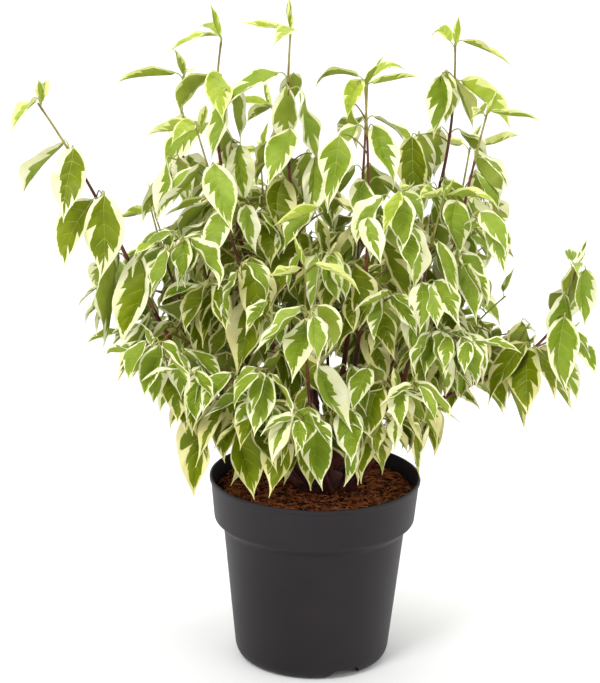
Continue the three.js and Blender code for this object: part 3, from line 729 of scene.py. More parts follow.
def grow(stem, index, crown):
    """The rule for one stem. Gives its own leaves, and its side shoots with theirs."""
    random = seeded(index + 1)
    between = spans(random)
    leaves, shoots = [], []

    def leaf(node, node_angle, size, youth):
        """A leaf that turns part of the way from its node's angle to the light outside."""
        form = leaf_form(node, node_angle, size, youth, index, between)
        to_light = (bearing(node) - node_angle + 540) % 360 - 180
        return settled(form, node_angle + TURN_TO_LIGHT * to_light, crown, index)

    def pair(node, angle, size, youth):
        """Two opposite leaves, the second a little smaller."""
        first = leaf(node, angle, size, youth)
        return first + leaf(node, angle + 180, size * between(SECOND_LEAF), youth)

    def add_shoot(node, angle, size):
        """A side shoot with three pairs of leaves, each pair a quarter turn on, if it fits."""
        length = SIDE_SHOOT_LENGTH * size * between(SIDE_SHOOT_SIZES)
        lift, sag = between(SIDE_SHOOT_LIFT), between(SIDE_SHOOT_SAG)
        spin = between((0, 180))
        handles = shoot_handles(node, length, lift, sag, angle, SHOOT_START, index, crown)
        if handles is None:
            return
        carried = []
        for i, along in enumerate(SIDE_SHOOT_NODES):
            young = SHOOT_TIP_YOUTH if i == len(SIDE_SHOOT_NODES) - 1 else 0
            leaf_size = size * (SIDE_SHOOT_LEAF - SIDE_SHOOT_SHRINK * i)
            point = on_limb(handles, SIDE_SHOOT_RINGS, along)
            carried += pair(point, spin + 90 * i, leaf_size, young)
        shoots.append((handles, carried))

    line = bezier(stem.handles, np.linspace(0, 1, LENGTH_STEPS + 1))
    leafy_length = np.linalg.norm(np.diff(line, axis=0), axis=1).sum() * (1 - stem.bare)
    full_youth = 1 if leafy_length > SHORT_STEM else SHORT_STEM_YOUTH
    count = max(FEWEST_NODES, math.floor(leafy_length / stem.spacing + 0.5))
    first_angle = between((0, 180))
    stem.nodes = []
    for k in range(1, count + 1):
        upward = LAST_NODE * (1 - (1 - k / count) ** NODE_CROWDING)
        along = stem.bare + (1 - stem.bare) * upward
        node = on_limb(stem.handles, stem.rings, along)
        stem.nodes.append(along)
        angle = first_angle + 90 * k + between((-NODE_WOBBLE, NODE_WOBBLE))
        size = LOWEST_LEAF_SIZE + SIZE_GAIN * upward - SIZE_LOSS * upward**4
        youth = max(0, (upward - YOUNG_FROM) / (1 - YOUNG_FROM)) * full_youth
        if upward < SHOOTS_BELOW and random() < stem.shoots:
            add_shoot(node, bearing(node), size)
        if upward < SECOND_SHOOTS_BELOW and random() < stem.shoots:
            add_shoot(node, angle, size)
        leaves += pair(node, angle, size, youth)
    return leaves + leaf(node, angle + 90, TIP_LEAF, TIP_LEAF_YOUTH), shoots


print("a stem has at least", FEWEST_NODES, "nodes")

# %% Grow the whole crown
leaf_list, shoot_list = [], []
for index, stem in enumerate(stems):
    grown_leaves, grown_shoots = grow(stem, index, crown)
    leaf_list += grown_leaves
    shoot_list += grown_shoots
    stem.shoots_grown = [handles for handles, _ in grown_shoots]
on_shoots = sum(len(carried) for _, carried in shoot_list)
print(len(leaf_list) + on_shoots, "leaves and", len(shoot_list), "side shoots by the rule")

# %% [markdown]
# ## Finer twigs
# On the real plant the side shoots branch once more, and it is those last twigs that make the
# lower half of the crown so dense. The same rule goes on: a short twig starts at a side shoot
# or at a node of the stem, in the stem's own space, and carries two pairs of smaller leaves.
# More or larger leaves would fill the crown too, but they would not hang in tiers.

# %% Grow the finer twigs
FINE_TOP = 470
FINE_LENGTHS = (40, 74)
FINE_LIFT = (0.1, 0.6)
FINE_SAG = (-0.3, 0.1)
FINE_LEAF = 0.7
FINE_SIZES = (0.8, 1.15)
FINE_YOUTH = 0.1
FINE_NODES = (0.52, 0.96)
FINE_START = 2 * SHOOT_START
FINE_SEED = 400
TURN_AT_NODES = 137
TURN_AT_SHOOTS = 80


def grow_fine(index, starts, crown):
    """Short twigs from the given starts, each a point and an angle to grow at."""
    between = spans(seeded(FINE_SEED + index))
    grown = []
    for start, angle in starts:
        length, lift, sag = between(FINE_LENGTHS), between(FINE_LIFT), between(FINE_SAG)
        size, spin = FINE_LEAF * between(FINE_SIZES), between((0, 180))
        handles = shoot_handles(start, length, lift, sag, angle, FINE_START, index, crown)
        if handles is None:
            continue
        carried = []
        for i, along in enumerate(FINE_NODES):
            point = bezier(handles, along)
            for side in (spin + 90 * i, spin + 90 * i + 180):
                smaller = size * (1 - SIDE_SHOOT_SHRINK * i)
                form = leaf_form(point, side, smaller, 0, index, between)
                carried += settled(form | {"youth": FINE_YOUTH}, side, crown, index)
        grown.append((handles, carried))
    return grown


fine_list = []
for index, stem in enumerate(stems):
    starts = [(bezier(stem.handles, a), TURN_AT_NODES * i) for i, a in enumerate(stem.nodes)]
    starts += [(bezier(h, 0.5), TURN_AT_SHOOTS * i) for i, h in enumerate(stem.shoots_grown)]
    starts = [(point, angle) for point, angle in starts if point[2] < FINE_TOP]
    if stem.shoots == SIDE_SHOOT_CHANCE:
        fine_list += grow_fine(index, starts, crown)
print(sum(len(carried) for _, carried in fine_list), "leaves on", len(fine_list), "finer twigs")

# %% [markdown]
# ## Hung twigs
# At its lower edge and round its outermost tips the shrub lets single pairs of leaves hang
# straight down. The rule leaves some of those places bare, because what would hang there lies
# outside every stem's own space. So a few short twigs are placed one by one: each row names a
# stem, a share of its length, the point where the leaves hang, the way they face and how long
# they are.

# %% The lowest and outermost twigs
HUNG_TWIGS = [
    ("low_front_left", 0.8, (-108, -52, 276), 250, 82),
    ("low_front_left", 0.6, (-72, -66, 268), 270, 74),
    ("low_front", 0.85, (-34, -70, 270), 280, 66),
    ("low_front", 0.9, (-6, -76, 268), 270, 64),
    ("low_front_right", 0.6, (22, -70, 276), 260, 68),
    ("low_front_right", 0.9, (86, -44, 282), 290, 74),
    ("low_left", 0.85, (-150, -44, 318), 230, 70),
    ("low_right", 0.6, (118, -24, 318), 300, 72),
    ("far_right", 0.62, (206, -8, 352), 290, 62),
    ("far_right", 0.8, (234, -18, 374), 280, 60),
    ("far_right", 0.94, (250, -20, 412), 300, 44),
    ("far_left", 0.6, (-200, -26, 462), 260, 70),
    ("far_left", 0.5, (-190, -30, 420), 230, 72),
    ("tall_left", 0.86, (-88, 4, 572), 240, 62),
    ("tall_middle", 0.86, (-32, -16, 578), 280, 68),
    ("front_middle", 0.86, (18, -56, 546), 250, 68),
    ("tall_right", 0.8, (90, 14, 530), 250, 64),
    ("tall_middle", 0.72, (-10, -14, 516), 290, 60),
    ("tall_right", 0.93, (113, 14, 590), 256, 58),
    ("front_middle", 0.93, (20, -40, 574), 230, 58),
    ("front_left", 0.86, (-142, -36, 514), 238, 56),
    ("tall_left", 0.76, (-78, 2, 522), 290, 58),
    ("far_left", 0.8, (-208, -34, 478), 300, 64),
    ("right", 0.34, (104, -26, 274), 290, 56),
]
print(len(HUNG_TWIGS), "twigs to hang")

# %% Hang them
HUNG_DROOP = (-78, -94)
HUNG_SPREAD = 10
HUNG_STEPS = (0, 12, 24, 36, 48)
HUNG_ARCH = 10
HUNG_RISE = 5
HUNG_SECOND = 0.86


def hang_twig(place, share, end, angle, length, crown, random):
    """A short twig from a stem out to a point, where a pair of leaves hangs straight down. It
    steps forward until there is room for a leaf."""
    index = [stem.place for stem in stems].index(place)
    start = bezier(stems[index].handles, share)
    between = spans(random)
    for step in HUNG_STEPS:
        end_here = np.array(end) - (0, step, 0)
        handles = (start, (start + end_here) / 2 + HUNG_ARCH * UP, end_here)
        leaves = []
        for size, side in ((1, angle), (HUNG_SECOND, angle + 180)):
            sway = HUNG_SPREAD * (2 * random() - 1)
            form = {"node": bezier(handles, FINE_NODES[-1]), "node_angle": side}
            form |= {"spray": index, "length": length * size, "rise": HUNG_RISE}
            form |= {"width": length * size * LEAF_WIDTH, "youth": FINE_YOUTH}
            form["droop"] = (HUNG_DROOP[0] + sway, HUNG_DROOP[1] + sway / 2)
            form["roll"] = between(LEAF_ROLL)
            leaves += settled(form, side, crown, None)
        if leaves:
            break
    return handles, leaves


random = seeded(FINE_SEED)
hung_list = [hang_twig(*row, crown, random) for row in HUNG_TWIGS]
fine_list += hung_list
print(sum(len(carried) for _, carried in hung_list), "leaves on", len(hung_list), "hung twigs")

# %% [markdown]
# ## Open sky
# The crown isn't an even ball. Open sky parts it from one long stem on its right and one on its
# left, and its lower edge is ragged on both sides. Twigs could be cut by hand, but an outline of
# each opening in the camera's picture says at once what has to stay clear: a twig or leaf that
# would hang in one of them is left off again, and a twig takes its leaves with it.

# %% The openings in the picture
PICTURE = (600, 683)
OPENINGS = [
    [(506, 148), (600, 145), (600, 238), (570, 238), (566, 300), (535, 308), (500, 345)]
    + [(492, 340), (492, 292), (512, 282), (512, 210), (498, 190)],
    [(92, 165), (140, 140), (165, 140), (165, 168), (138, 185), (134, 225), (125, 240), (108, 210)],
    [(0, 150), (34, 150), (34, 210), (50, 225), (70, 270), (84, 345), (112, 378), (134, 384)]
    + [(150, 402), (156, 432), (162, 470), (0, 470)],
    [(424, 482), (436, 452), (446, 434), (470, 434), (506, 420), (530, 410), (548, 398)]
    + [(560, 410), (578, 410), (600, 380), (600, 520), (424, 520)],
]


def seen_at(points):
    """Where points in millimetres fall in a picture of PICTURE's size, taken by the camera."""
    back = np.array(camera.matrix_world.inverted())
    seen = points * MM @ back[:3, :3].T + back[:3, 3]
    scale = CAMERA_LENS / SENSOR * PICTURE[1] / -seen[:, 2]
    return np.stack([PICTURE[0] / 2 + seen[:, 0] * scale, PICTURE[1] / 2 - seen[:, 1] * scale], 1)


print("the middle of the pot's foot is seen at", seen_at(np.zeros((1, 3)))[0].round())

# %% Clear the openings
def within(spots, corners):
    """Whether spots lie in a polygon: a line to the right of them crosses its edge an odd
    number of times."""
    corners = np.array(corners, float)
    after = np.roll(corners, -1, axis=0)
    x, y = spots[:, :1], spots[:, 1:]
    passes = (corners[:, 1] > y) != (after[:, 1] > y)
    climb = after[:, 1] - corners[:, 1]
    slope = (after[:, 0] - corners[:, 0]) / np.where(climb == 0, 1, climb)
    return (passes & (x < corners[:, 0] + (y - corners[:, 1]) * slope)).sum(axis=1) % 2 == 1


def in_opening(points):
    """Whether each point is seen in one of the openings."""
    spots = seen_at(np.array(points))
    return np.any([within(spots, opening) for opening in OPENINGS], axis=0)


def hangs_free(leaf):
    """Whether a leaf's middle and tip keep out of the openings."""
    return not in_opening(leaf_corners(leaf)[3:]).any()


def still_there(twigs):
    """The twigs that keep out of the openings, with the leaves that do. A twig that would be
    left bare goes too."""
    kept = [(h, [leaf for leaf in leaves if hangs_free(leaf)]) for h, leaves in twigs]
    return [(h, leaves) for h, leaves in kept if leaves and not in_opening(h[1:]).any()]


shoot_list, fine_list = still_there(shoot_list), still_there(fine_list)
leaf_list = [leaf for leaf in leaf_list if hangs_free(leaf)]
for _, carried in shoot_list + fine_list:
    leaf_list += carried
shoot_list = [handles for handles, _ in shoot_list]
fine_list = [handles for handles, _ in fine_list]
print(len(leaf_list), "leaves,", len(shoot_list), "side shoots and", len(fine_list), "finer twigs")

# %% [markdown]
# ## Pot
# A nursery pot is one thin moulding of grey-black plastic: a tapering body, a collar that steps
# out so that pots stack, and a small lip. A cylinder could be scaled and cut into that, but a
# profile turned round the axis says every radius and height at once, and each of its edges can
# be rounded slightly, as a mould leaves it. The drain holes and the three slots through the
# foot ring are cut out afterwards.

# %% Turned shapes
ROUNDING_LIMIT = 0.45


def rounded(corners, steps=4):
    """A profile of (radius, height, rounding) corners. Each corner becomes a short curve that
    starts and ends its rounding away from it, with the corner as its middle handle."""
    points = [np.array([corners[0][:2]], float)]
    for before, corner, after in zip(corners, corners[1:], corners[2:]):
        here = np.array(corner[:2], float)
        ways = [np.array(other[:2]) - here for other in (before, after)]
        ends = [here + way * min(corner[2] / np.linalg.norm(way), ROUNDING_LIMIT) for way in ways]
        points.append(bezier((ends[0], here, ends[1]), np.linspace(0, 1, steps + 1)))
    return np.concatenate(points + [np.array([corners[-1][:2]], float)])


def revolved(profile, sides):
    """A closed body of revolution, from the axis at its bottom to the axis at its top."""
    turn = np.arange(sides) * 2 * np.pi / sides
    circle = np.stack([np.cos(turn), np.sin(turn), 0 * turn], axis=1)
    radius, height = profile[1:-1, 0], profile[1:-1, 1]
    rings = radius[:, None, None] * circle + height[:, None, None] * UP
    return sleeves(profile[:1, 1:] * UP, rings[None], profile[-1:, 1:] * UP)


a_square = np.array([(0, 0), (1, 0), (1, 1), (0, 1)], float)
print("a square turned on 12 sides is a drum of", len(revolved(a_square, 12)[1]), "triangles")

# %% The pot's profile
POT_SIDES = 144
RIM_LIP = 4
RIM_LIP_STEP = 0.9
FLOOR_TOP = 8
BASE_BELLY = (0.72, 0.4)
RECESS_DEPTH = 5
RECESS_INNER = 34
RECESS_OUTER = 60
RECESS_SLOPE = 1.5
belly = GROUND_RADIUS + (BODY_BOTTOM_RADIUS - GROUND_RADIUS) * BASE_BELLY[0]
lip_bottom = RIM_HEIGHT - RIM_LIP
pot_profile = rounded(
    [
        (0, 0, 0),
        (RECESS_INNER, 0, 0.8),
        (RECESS_INNER + RECESS_SLOPE, RECESS_DEPTH, 0.8),
        (RECESS_OUTER, RECESS_DEPTH, 0.8),
        (RECESS_OUTER + RECESS_SLOPE, 0, 0.8),
        (GROUND_RADIUS, 0, 1.5),
        (belly, BASE_ROUNDING * BASE_BELLY[1], 2.5),
        (BODY_BOTTOM_RADIUS, BASE_ROUNDING, 3),
        (BODY_TOP_RADIUS, BODY_TOP, 1.6),
        (COLLAR_RADIUS, COLLAR_BOTTOM, 1.6),
        (pot_radius(lip_bottom) - RIM_LIP_STEP, lip_bottom - RIM_LIP_STEP, 0.5),
        (RIM_RADIUS, lip_bottom, 0.5),
        (RIM_RADIUS, RIM_HEIGHT, 1),
        (RIM_RADIUS - WALL, RIM_HEIGHT, 0.9),
        (COLLAR_RADIUS - WALL, COLLAR_BOTTOM + WALL, 2),
        (BODY_TOP_RADIUS - WALL, BODY_TOP + WALL, 2),
        (BODY_BOTTOM_RADIUS - WALL, BASE_ROUNDING + WALL, 3),
        (GROUND_RADIUS, FLOOR_TOP, 1),
        (0, FLOOR_TOP, 0),
    ]
)
print(len(pot_profile), "points in the pot's profile, on", POT_SIDES, "sides")

# %% Drain holes and slots
HOLE_COUNT = 6
HOLE_RADIUS = 4
HOLE_SIDES = 24
HOLE_CUT_TOP = 10
CUT_FROM = -1
NOTCH_ANGLES = (-63, 57, 177)
NOTCH_WIDTH = 38
NOTCH_TOP_WIDTH = 26
NOTCH_HEIGHT = 9.5
NOTCH_REACH = (56, 81.5)


def drain_slot(angle):
    """A wedge with slanted sides, laid outwards through the foot ring."""
    out, side = bearing_line(angle), bearing_line(angle + 90)
    low, high = NOTCH_WIDTH / 2, NOTCH_TOP_WIDTH / 2
    bottom = [(-low, CUT_FROM), (low, CUT_FROM)]
    top = [(high, NOTCH_HEIGHT), (-high, NOTCH_HEIGHT)]
    section = np.array(bottom + top)
    ring = section[:, :1] * side + section[:, 1:] * UP
    rings = np.stack([ring + reach * out for reach in NOTCH_REACH])
    return sleeves(rings[:1].mean(axis=1), rings[None], rings[1:].mean(axis=1))


def drain_hole(angle):
    """An upright pin in the middle of the recess's ring."""
    bottom = [(0, CUT_FROM), (HOLE_RADIUS, CUT_FROM)]
    top = [(HOLE_RADIUS, HOLE_CUT_TOP), (0, HOLE_CUT_TOP)]
    points, faces = revolved(np.array(bottom + top, float), HOLE_SIDES)
    return points + (RECESS_INNER + RECESS_OUTER) / 2 * bearing_line(angle), faces


print(HOLE_COUNT, "drain holes and", len(NOTCH_ANGLES), "drain slots")

# %% Make the pot
def cut_away(piece, points, faces):
    """Subtracts closed shapes from a piece, and leaves the result as its plain mesh."""
    cutter = make_piece("cutter", points, faces, piece.data.materials[0])
    change = piece.modifiers.new("cut", "BOOLEAN")
    change.object = cutter
    change.solver = "EXACT"
    graph = bpy.context.evaluated_depsgraph_get()
    mesh = bpy.data.meshes.new_from_object(piece.evaluated_get(graph))
    piece.modifiers.clear()
    piece.data = mesh
    bpy.data.objects.remove(cutter)
    mesh.set_sharp_from_angle(angle=SHARP_ANGLE)


plastic = finish("pot_plastic", (26, 21, 25), (32, 27, 31), 90, 0.5, 0.9, 0.05, shine=0.24)
pot = make_piece("nursery_pot", *revolved(pot_profile, POT_SIDES), plastic)
holes = [drain_hole((i + 0.5) * 360 / HOLE_COUNT) for i in range(HOLE_COUNT)]
cut_away(pot, *joined(holes + [drain_slot(angle) for angle in NOTCH_ANGLES]))
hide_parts("pot")

# %% [markdown]
# ## Potting soil
# The pot is filled with peat, which is full of fibres and crumbs of bark. A bumpy picture on a
# flat disc would save work, but tangle and shadow are what tells peat from painted ground. So a
# lumpy body fills the pot, and fibres, crumbs and chips are strewn over it as real small shapes.

# %% Noise in space
LATTICE = 32


def lumps(points, size, seed):
    """Smooth noise from -1 to 1: random values on a lattice with cells of a size, blended
    between the eight corners of the cell that a point is in."""
    table = np.random.default_rng(seed).uniform(-1, 1, (LATTICE, LATTICE, LATTICE))
    cell = points / size
    low = np.floor(cell).astype(int)
    share = cell - low
    share = share * share * (3 - 2 * share)
    total = np.zeros(points.shape[:-1])
    for corner in np.ndindex(2, 2, 2):
        weight = np.where(corner, share, 1 - share).prod(axis=-1)
        spot = (low + corner) % LATTICE
        total += weight * table[spot[..., 0], spot[..., 1], spot[..., 2]]
    return total


print("the noise at the pot's foot is", round(float(lumps(np.zeros((1, 3)), 10, 1)[0]), 3))

# %% The soil's top
EDGE_STRIP = 3
SOIL_CLEARANCE = 0.5
SWELLS = (1.8, 19)
SMALL_LUMPS = (1.1, 6.5)
soil_edge = pot_radius(SOIL_TOP) - WALL - GAP


def soil_height(points):
    """The height of the soil at a place: broad swells and small lumps, by height and size."""
    flat = points * (1, 1, 0)
    swell = SWELLS[0] * lumps(flat, SWELLS[1], 1)
    return SOIL_TOP + swell + SMALL_LUMPS[0] * lumps(flat, SMALL_LUMPS[1], 2)


def inside(height):
    """The radius of the soil's side, clear of the pot's wall."""
    return pot_radius(height) - WALL - 2 * SOIL_CLEARANCE


def strewn(count, rng):
    """Places on the soil, spread evenly over its round top."""
    radius = (soil_edge - EDGE_STRIP) * np.sqrt(rng.random(count))
    turn = rng.uniform(0, 2 * np.pi, count)
    places = np.stack([radius * np.cos(turn), radius * np.sin(turn), 0 * turn], axis=1)
    places[:, 2] = soil_height(places)
    return places


print("the soil is", round(2 * soil_edge), "mm across")

# %% Crumbs, chips and fibres
GRAIN_CORNERS = 5
GRAIN_TILT = 0.35
FIBRE_LENGTHS = (6, 26)
FIBRE_RADII = (0.25, 0.7)
FIBRE_BEND = 0.8
FIBRE_POINTS = 6
FIBRE_LIFT = 0.5


def grains(places, sizes, rng):
    """Small angular lumps: a ring of five uneven points between a top and a bottom point, each
    turned at random and pressed flat by the third of its sizes."""
    count = len(places)
    every = (count, GRAIN_CORNERS)
    turn = np.arange(GRAIN_CORNERS) * 2 * np.pi / GRAIN_CORNERS + rng.uniform(-0.4, 0.4, every)
    far = rng.uniform(0.6, 1.1, every)
    ring = np.stack([far * np.cos(turn), far * np.sin(turn), rng.uniform(-0.5, 0.5, every)], -1)
    poles = np.array([(0, 0, -1.0), (0, 0, 1.0)])
    shape = np.concatenate([ring, np.broadcast_to(poles, (count, 2, 3))], axis=1) * sizes[:, None]
    yaw, tilt = rng.uniform(0, 2 * np.pi, count), rng.normal(0, GRAIN_TILT, count)
    first = np.stack([np.cos(yaw), np.sin(yaw), 0 * yaw], -1)
    third = np.stack([np.sin(tilt) * np.sin(yaw), -np.sin(tilt) * np.cos(yaw), np.cos(tilt)], -1)
    axes = np.stack([first, np.cross(third, first), third], axis=1)
    world = np.einsum("nki,nij->nkj", shape, axes) + places[:, None]
    return sleeves(world[:, -2], world[:, None, :-2], world[:, -1])


def fibres(places, rng):
    """Thin bent threads that lie on the soil, and here and there arch off it."""
    count = len(places)
    length = rng.uniform(*FIBRE_LENGTHS, count)[:, None, None]
    yaw = rng.uniform(0, 2 * np.pi, count)[:, None, None]
    bend, arch = rng.normal(0, FIBRE_BEND, (2, count, 1, 1))
    share = np.linspace(-0.5, 0.5, FIBRE_POINTS)[:, None]
    out = np.concatenate([np.cos(yaw), np.sin(yaw), 0 * yaw], axis=-1)
    side = np.concatenate([-np.sin(yaw), np.cos(yaw), 0 * yaw], axis=-1)
    path = places[:, None] + length * (share * out + bend * share**2 * side)
    far = np.linalg.norm(path[..., :2], axis=-1, keepdims=True)
    path[..., :2] *= np.minimum(1, (soil_edge - 1) / far)
    path[..., 2] = soil_height(path) + FIBRE_LIFT
    path = path + np.abs(arch) * length * 0.4 * (0.25 - share**2) * UP
    radii = rng.uniform(*FIBRE_RADII, (count, 1)) * (1.1 - 2 * np.abs(share.ravel()) * 0.8)
    rings = tube_rings(path, radii, 3, UP)
    return sleeves(path[:, 0], rings, path[:, -1])


print("a grain has", len(sleeve_faces(1, GRAIN_CORNERS)), "triangles")

# %% The soil
SOIL_SIDES = 120
SOIL_RINGS = 46
FIBRES = 1400
CRUMBS = 2600
CHIPS = 420
CRUMB_SIZES = (0.8, 3.2)
CHIP_SIZES = (2, 6)
CHIP_FORMS = ((0.8, 0.3, 0.12), (1.2, 0.6, 0.3))
CHIP_LIFT = 0.8
SOIL_SEED = 5
soil_corners = [
    (0, FLOOR_TOP + SOIL_CLEARANCE),
    (GROUND_RADIUS - 2 * SOIL_CLEARANCE, FLOOR_TOP + SOIL_CLEARANCE),
    (inside(BASE_ROUNDING), BASE_ROUNDING + WALL + SOIL_CLEARANCE),
    (inside(BODY_TOP), BODY_TOP + WALL),
    (inside(COLLAR_BOTTOM), COLLAR_BOTTOM + WALL),
]
soil_corners += [(radius, SOIL_TOP) for radius in np.linspace(soil_edge, 0, SOIL_RINGS)]
soil_points, soil_faces = revolved(np.array(soil_corners), SOIL_SIDES)
top = soil_points[:, 2] > SOIL_TOP - 1
soil_points[top, 2] = soil_height(soil_points[top])

peat = finish("peat", (20, 8, 5), (50, 24, 14), 5, 0.95, grain=1.2, relief=0.6, shine=0.1)
fibre_brown = finish("peat_fibre", (112, 56, 30), (190, 116, 70), 6, 0.85, shine=0.1)
crumb_brown = finish(
    "peat_crumb", (34, 15, 9), (84, 42, 25), 7, 0.9, grain=0.8, relief=0.2, shine=0.1
)
chip_tan = finish("bark_chip", (116, 64, 42), (178, 118, 84), 8, 0.85, grain=0.8, relief=0.2)
rng = np.random.default_rng(SOIL_SEED)
soil = make_piece("soil_body", soil_points, soil_faces, peat)
crumb_sizes = rng.uniform(*CRUMB_SIZES, (CRUMBS, 1)) * rng.uniform(0.5, 1.1, (CRUMBS, 3))
crumbs = make_piece("soil_crumbs", *grains(strewn(CRUMBS, rng), crumb_sizes, rng), crumb_brown)
chip_sizes = rng.uniform(*CHIP_SIZES, (CHIPS, 1)) * rng.uniform(*CHIP_FORMS, (CHIPS, 3))
chip_places = strewn(CHIPS, rng) + CHIP_LIFT * UP
chips = make_piece("soil_chips", *grains(chip_places, chip_sizes, rng), chip_tan)
threads = make_piece("soil_fibres", *fibres(strewn(FIBRES, rng), rng), fibre_brown)
for piece in (soil, crumbs, chips, threads):
    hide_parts("soil")

# %% [markdown]
# ## Bare stems
# The stems rise in a tight sheaf. Their bark is smooth and dark red-brown, with a slight ring
# and swelling at each old node, fine ridges along the stem and pale corky dots. A bump in the
# material would hint at that, but it doesn't change an outline. So all of it is modelled in the
# radius of the tube.

# %% Bark
OLD_NODE_SPACING = 44
OLD_NODE_WIDTH = 2.2
OLD_NODE_SWELL = 0.22
ALONG_STRETCH = 0.12
FINE_RIDGES = (0.06, 2.1)
BROAD_BUMPS = (0.05, 9)
CORK_DOTS = (0.25, 1.9, 0.55)


def ringed(along_mm, spacing, first, width):
    """How near each point is to the nearest old node: 1 there, fading over a width."""
    off = (along_mm - first + spacing / 2) % spacing - spacing / 2
    return np.exp(-((off / width) ** 2))


def bark_tube(path, radii, sides, guide, seed, first_node):
    """A tube along one path whose radius carries the bark: it swells at the nodes, by noise
    drawn out along the stem, by broader noise, and in dots where a third noise is high. Each
    noise has its share of the radius and its size, and the dots the level they begin at."""
    steps = np.linalg.norm(np.diff(path, axis=0), axis=1)
    travelled = np.concatenate([[0], np.cumsum(steps)])
    rings = tube_rings(path[None], radii[None], sides, guide)[0]
    away = rings - path[:, None]
    stretched = away + path[:, None] * (1, 1, ALONG_STRETCH)
    node = ringed(travelled, OLD_NODE_SPACING, first_node, OLD_NODE_WIDTH)[:, None]
    swell = 1 + OLD_NODE_SWELL * node + FINE_RIDGES[0] * lumps(stretched, FINE_RIDGES[1], seed)
    swell = swell + BROAD_BUMPS[0] * lumps(rings, BROAD_BUMPS[1], seed + 1)
    dots = np.clip(lumps(rings, CORK_DOTS[1], seed + 2) - CORK_DOTS[2], 0, 1)
    swell = swell + CORK_DOTS[0] * dots
    return sleeves(path[:1], (path[:, None] + away * swell[..., None])[None], path[-1:])


def stem_level(stem):
    """The horizontal direction across the upright plane that a stem bends in."""
    return np.cross(UP, unit((stem.handles[3] - stem.handles[0]) * (1, 1, 0)))


print("a ring about", 2 * OLD_NODE_WIDTH, "mm wide every", OLD_NODE_SPACING, "mm of bark")

# %% The boughs
BOUGH_RINGS = 72
BOUGH_SIDES = 14
SUNK = 0.035
OVERLAP = 0.01
TAPER = 0.74
FOOT_SWELL = (0.25, 60)
LOWEST_NODE = 11
NODE_SHIFT = 7
MOST_SHIFT = 31
BARK_SEED = 40
bark = finish("stem_bark", (58, 26, 27), (104, 52, 42), 16, 0.5, grain=1.4, relief=0.15)
for index, stem in enumerate(stems):
    along = np.linspace(-SUNK, stem.bare + OVERLAP, BOUGH_RINGS)
    path = bezier(stem.handles, along)
    swell = 1 + FOOT_SWELL[0] * np.exp(-along * FOOT_SWELL[1])
    radii = stem.foot_radius * (1 - TAPER * np.maximum(along, 0)) * swell
    level = stem_level(stem)
    first_node = LOWEST_NODE + NODE_SHIFT * index % MOST_SHIFT
    shape = bark_tube(path, radii, BOUGH_SIDES, level, BARK_SEED + 3 * index, first_node)
    piece = make_piece(f"bough_{stem.place}", *shape, bark)
    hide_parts(f"stem_{stem.place}")

# %% [markdown]
# ## Woody foot
# The inner stems grow from a short old stump that stands out of the soil. Its wood is darker
# and ribbed where the stems leave it. It could be sculpted, but turned like the pot it keeps its
# measures. Its radius is then pushed in and out round the axis, by two waves for the ribs and
# by noise for the rough bark.

# %% The foot
FOOT_RADIUS = 12.5
FOOT_SIDES = 48
RIBS = ((0.07, 7, 0.8), (0.05, 4, 2))
FINE_WOOD = (0.12, 4)
BROAD_WOOD = (0.08, 9)
WOOD_STRETCH = 0.4
bark_dark = finish("foot_bark", (42, 26, 24), (84, 58, 46), 7, 0.75, grain=1.6, relief=0.4)
foot_profile = rounded(
    [
        (0, SOIL_TOP - 6, 0),
        (FOOT_FLARE_RADIUS + 2, SOIL_TOP - 6, 1),
        (FOOT_FLARE_RADIUS - 1, SOIL_TOP + 2, 3),
        (FOOT_RADIUS + 1.2, SOIL_TOP + 7, 4),
        (FOOT_RADIUS, SOIL_TOP + 14, 4),
        (FOOT_RADIUS + 0.8, FOOT_TOP - 5, 3),
        (FOOT_RADIUS - 1, FOOT_TOP, 2),
        (0, FOOT_TOP + 1, 0),
    ],
    steps=8,
)
foot_points, foot_faces = revolved(foot_profile, FOOT_SIDES)
around = np.arctan2(foot_points[:, 1], foot_points[:, 0])
ridge = sum((height * np.cos(number * around + start) for height, number, start in RIBS), 1)
rough = FINE_WOOD[0] * lumps(foot_points * (1, 1, WOOD_STRETCH), FINE_WOOD[1], 9)
ridge += rough + BROAD_WOOD[0] * lumps(foot_points, BROAD_WOOD[1], 10)
foot_points = foot_points * np.stack([ridge, ridge, 1 + 0 * ridge], axis=1) + FOOT_CENTRE
foot = make_piece("woody_foot", foot_points, foot_faces, bark_dark)
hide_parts("foot_stem")

# %% [markdown]
# ## Twigs
# The leafy end of each stem goes on as a whip. Its bark stays red-brown for most of the way and
# turns green-yellow near the tip, which is this year's growth. Side shoots and finer twigs are
# thinner and paler. A skin over a skeleton of edges could make them too, but a tube with rings
# is lighter, and its radius can swell a little where it carries leaves.

# %% Whips and short twigs
STEM_SCALE = 500
KNOB_WIDTH = 2.4
KNOB_SHARE = 0.03
KNOB_SWELL = 0.3
WHIP_SIDES = 8
SHOOT_RINGS = 18
SHOOT_SIDES = 6
SIDE_SHOOT_TAPER = 0.4


def whip(stem, start, end, rings):
    """The part of a whip between two shares of its stem. Its radius tapers evenly, and swells
    at each node by a bell curve."""
    along = np.linspace(start, end, rings)
    path = bezier(stem.handles, along)
    node = sum(np.exp(-(((along - spot) * STEM_SCALE / KNOB_WIDTH) ** 2)) for spot in stem.nodes)
    radii = stem.foot_radius * (1 - TAPER * along) * (1 + KNOB_SWELL * np.minimum(node, 1))
    rings = tube_rings(path[None], radii[None], WHIP_SIDES, stem_level(stem))
    return sleeves(path[:1], rings, path[-1:])


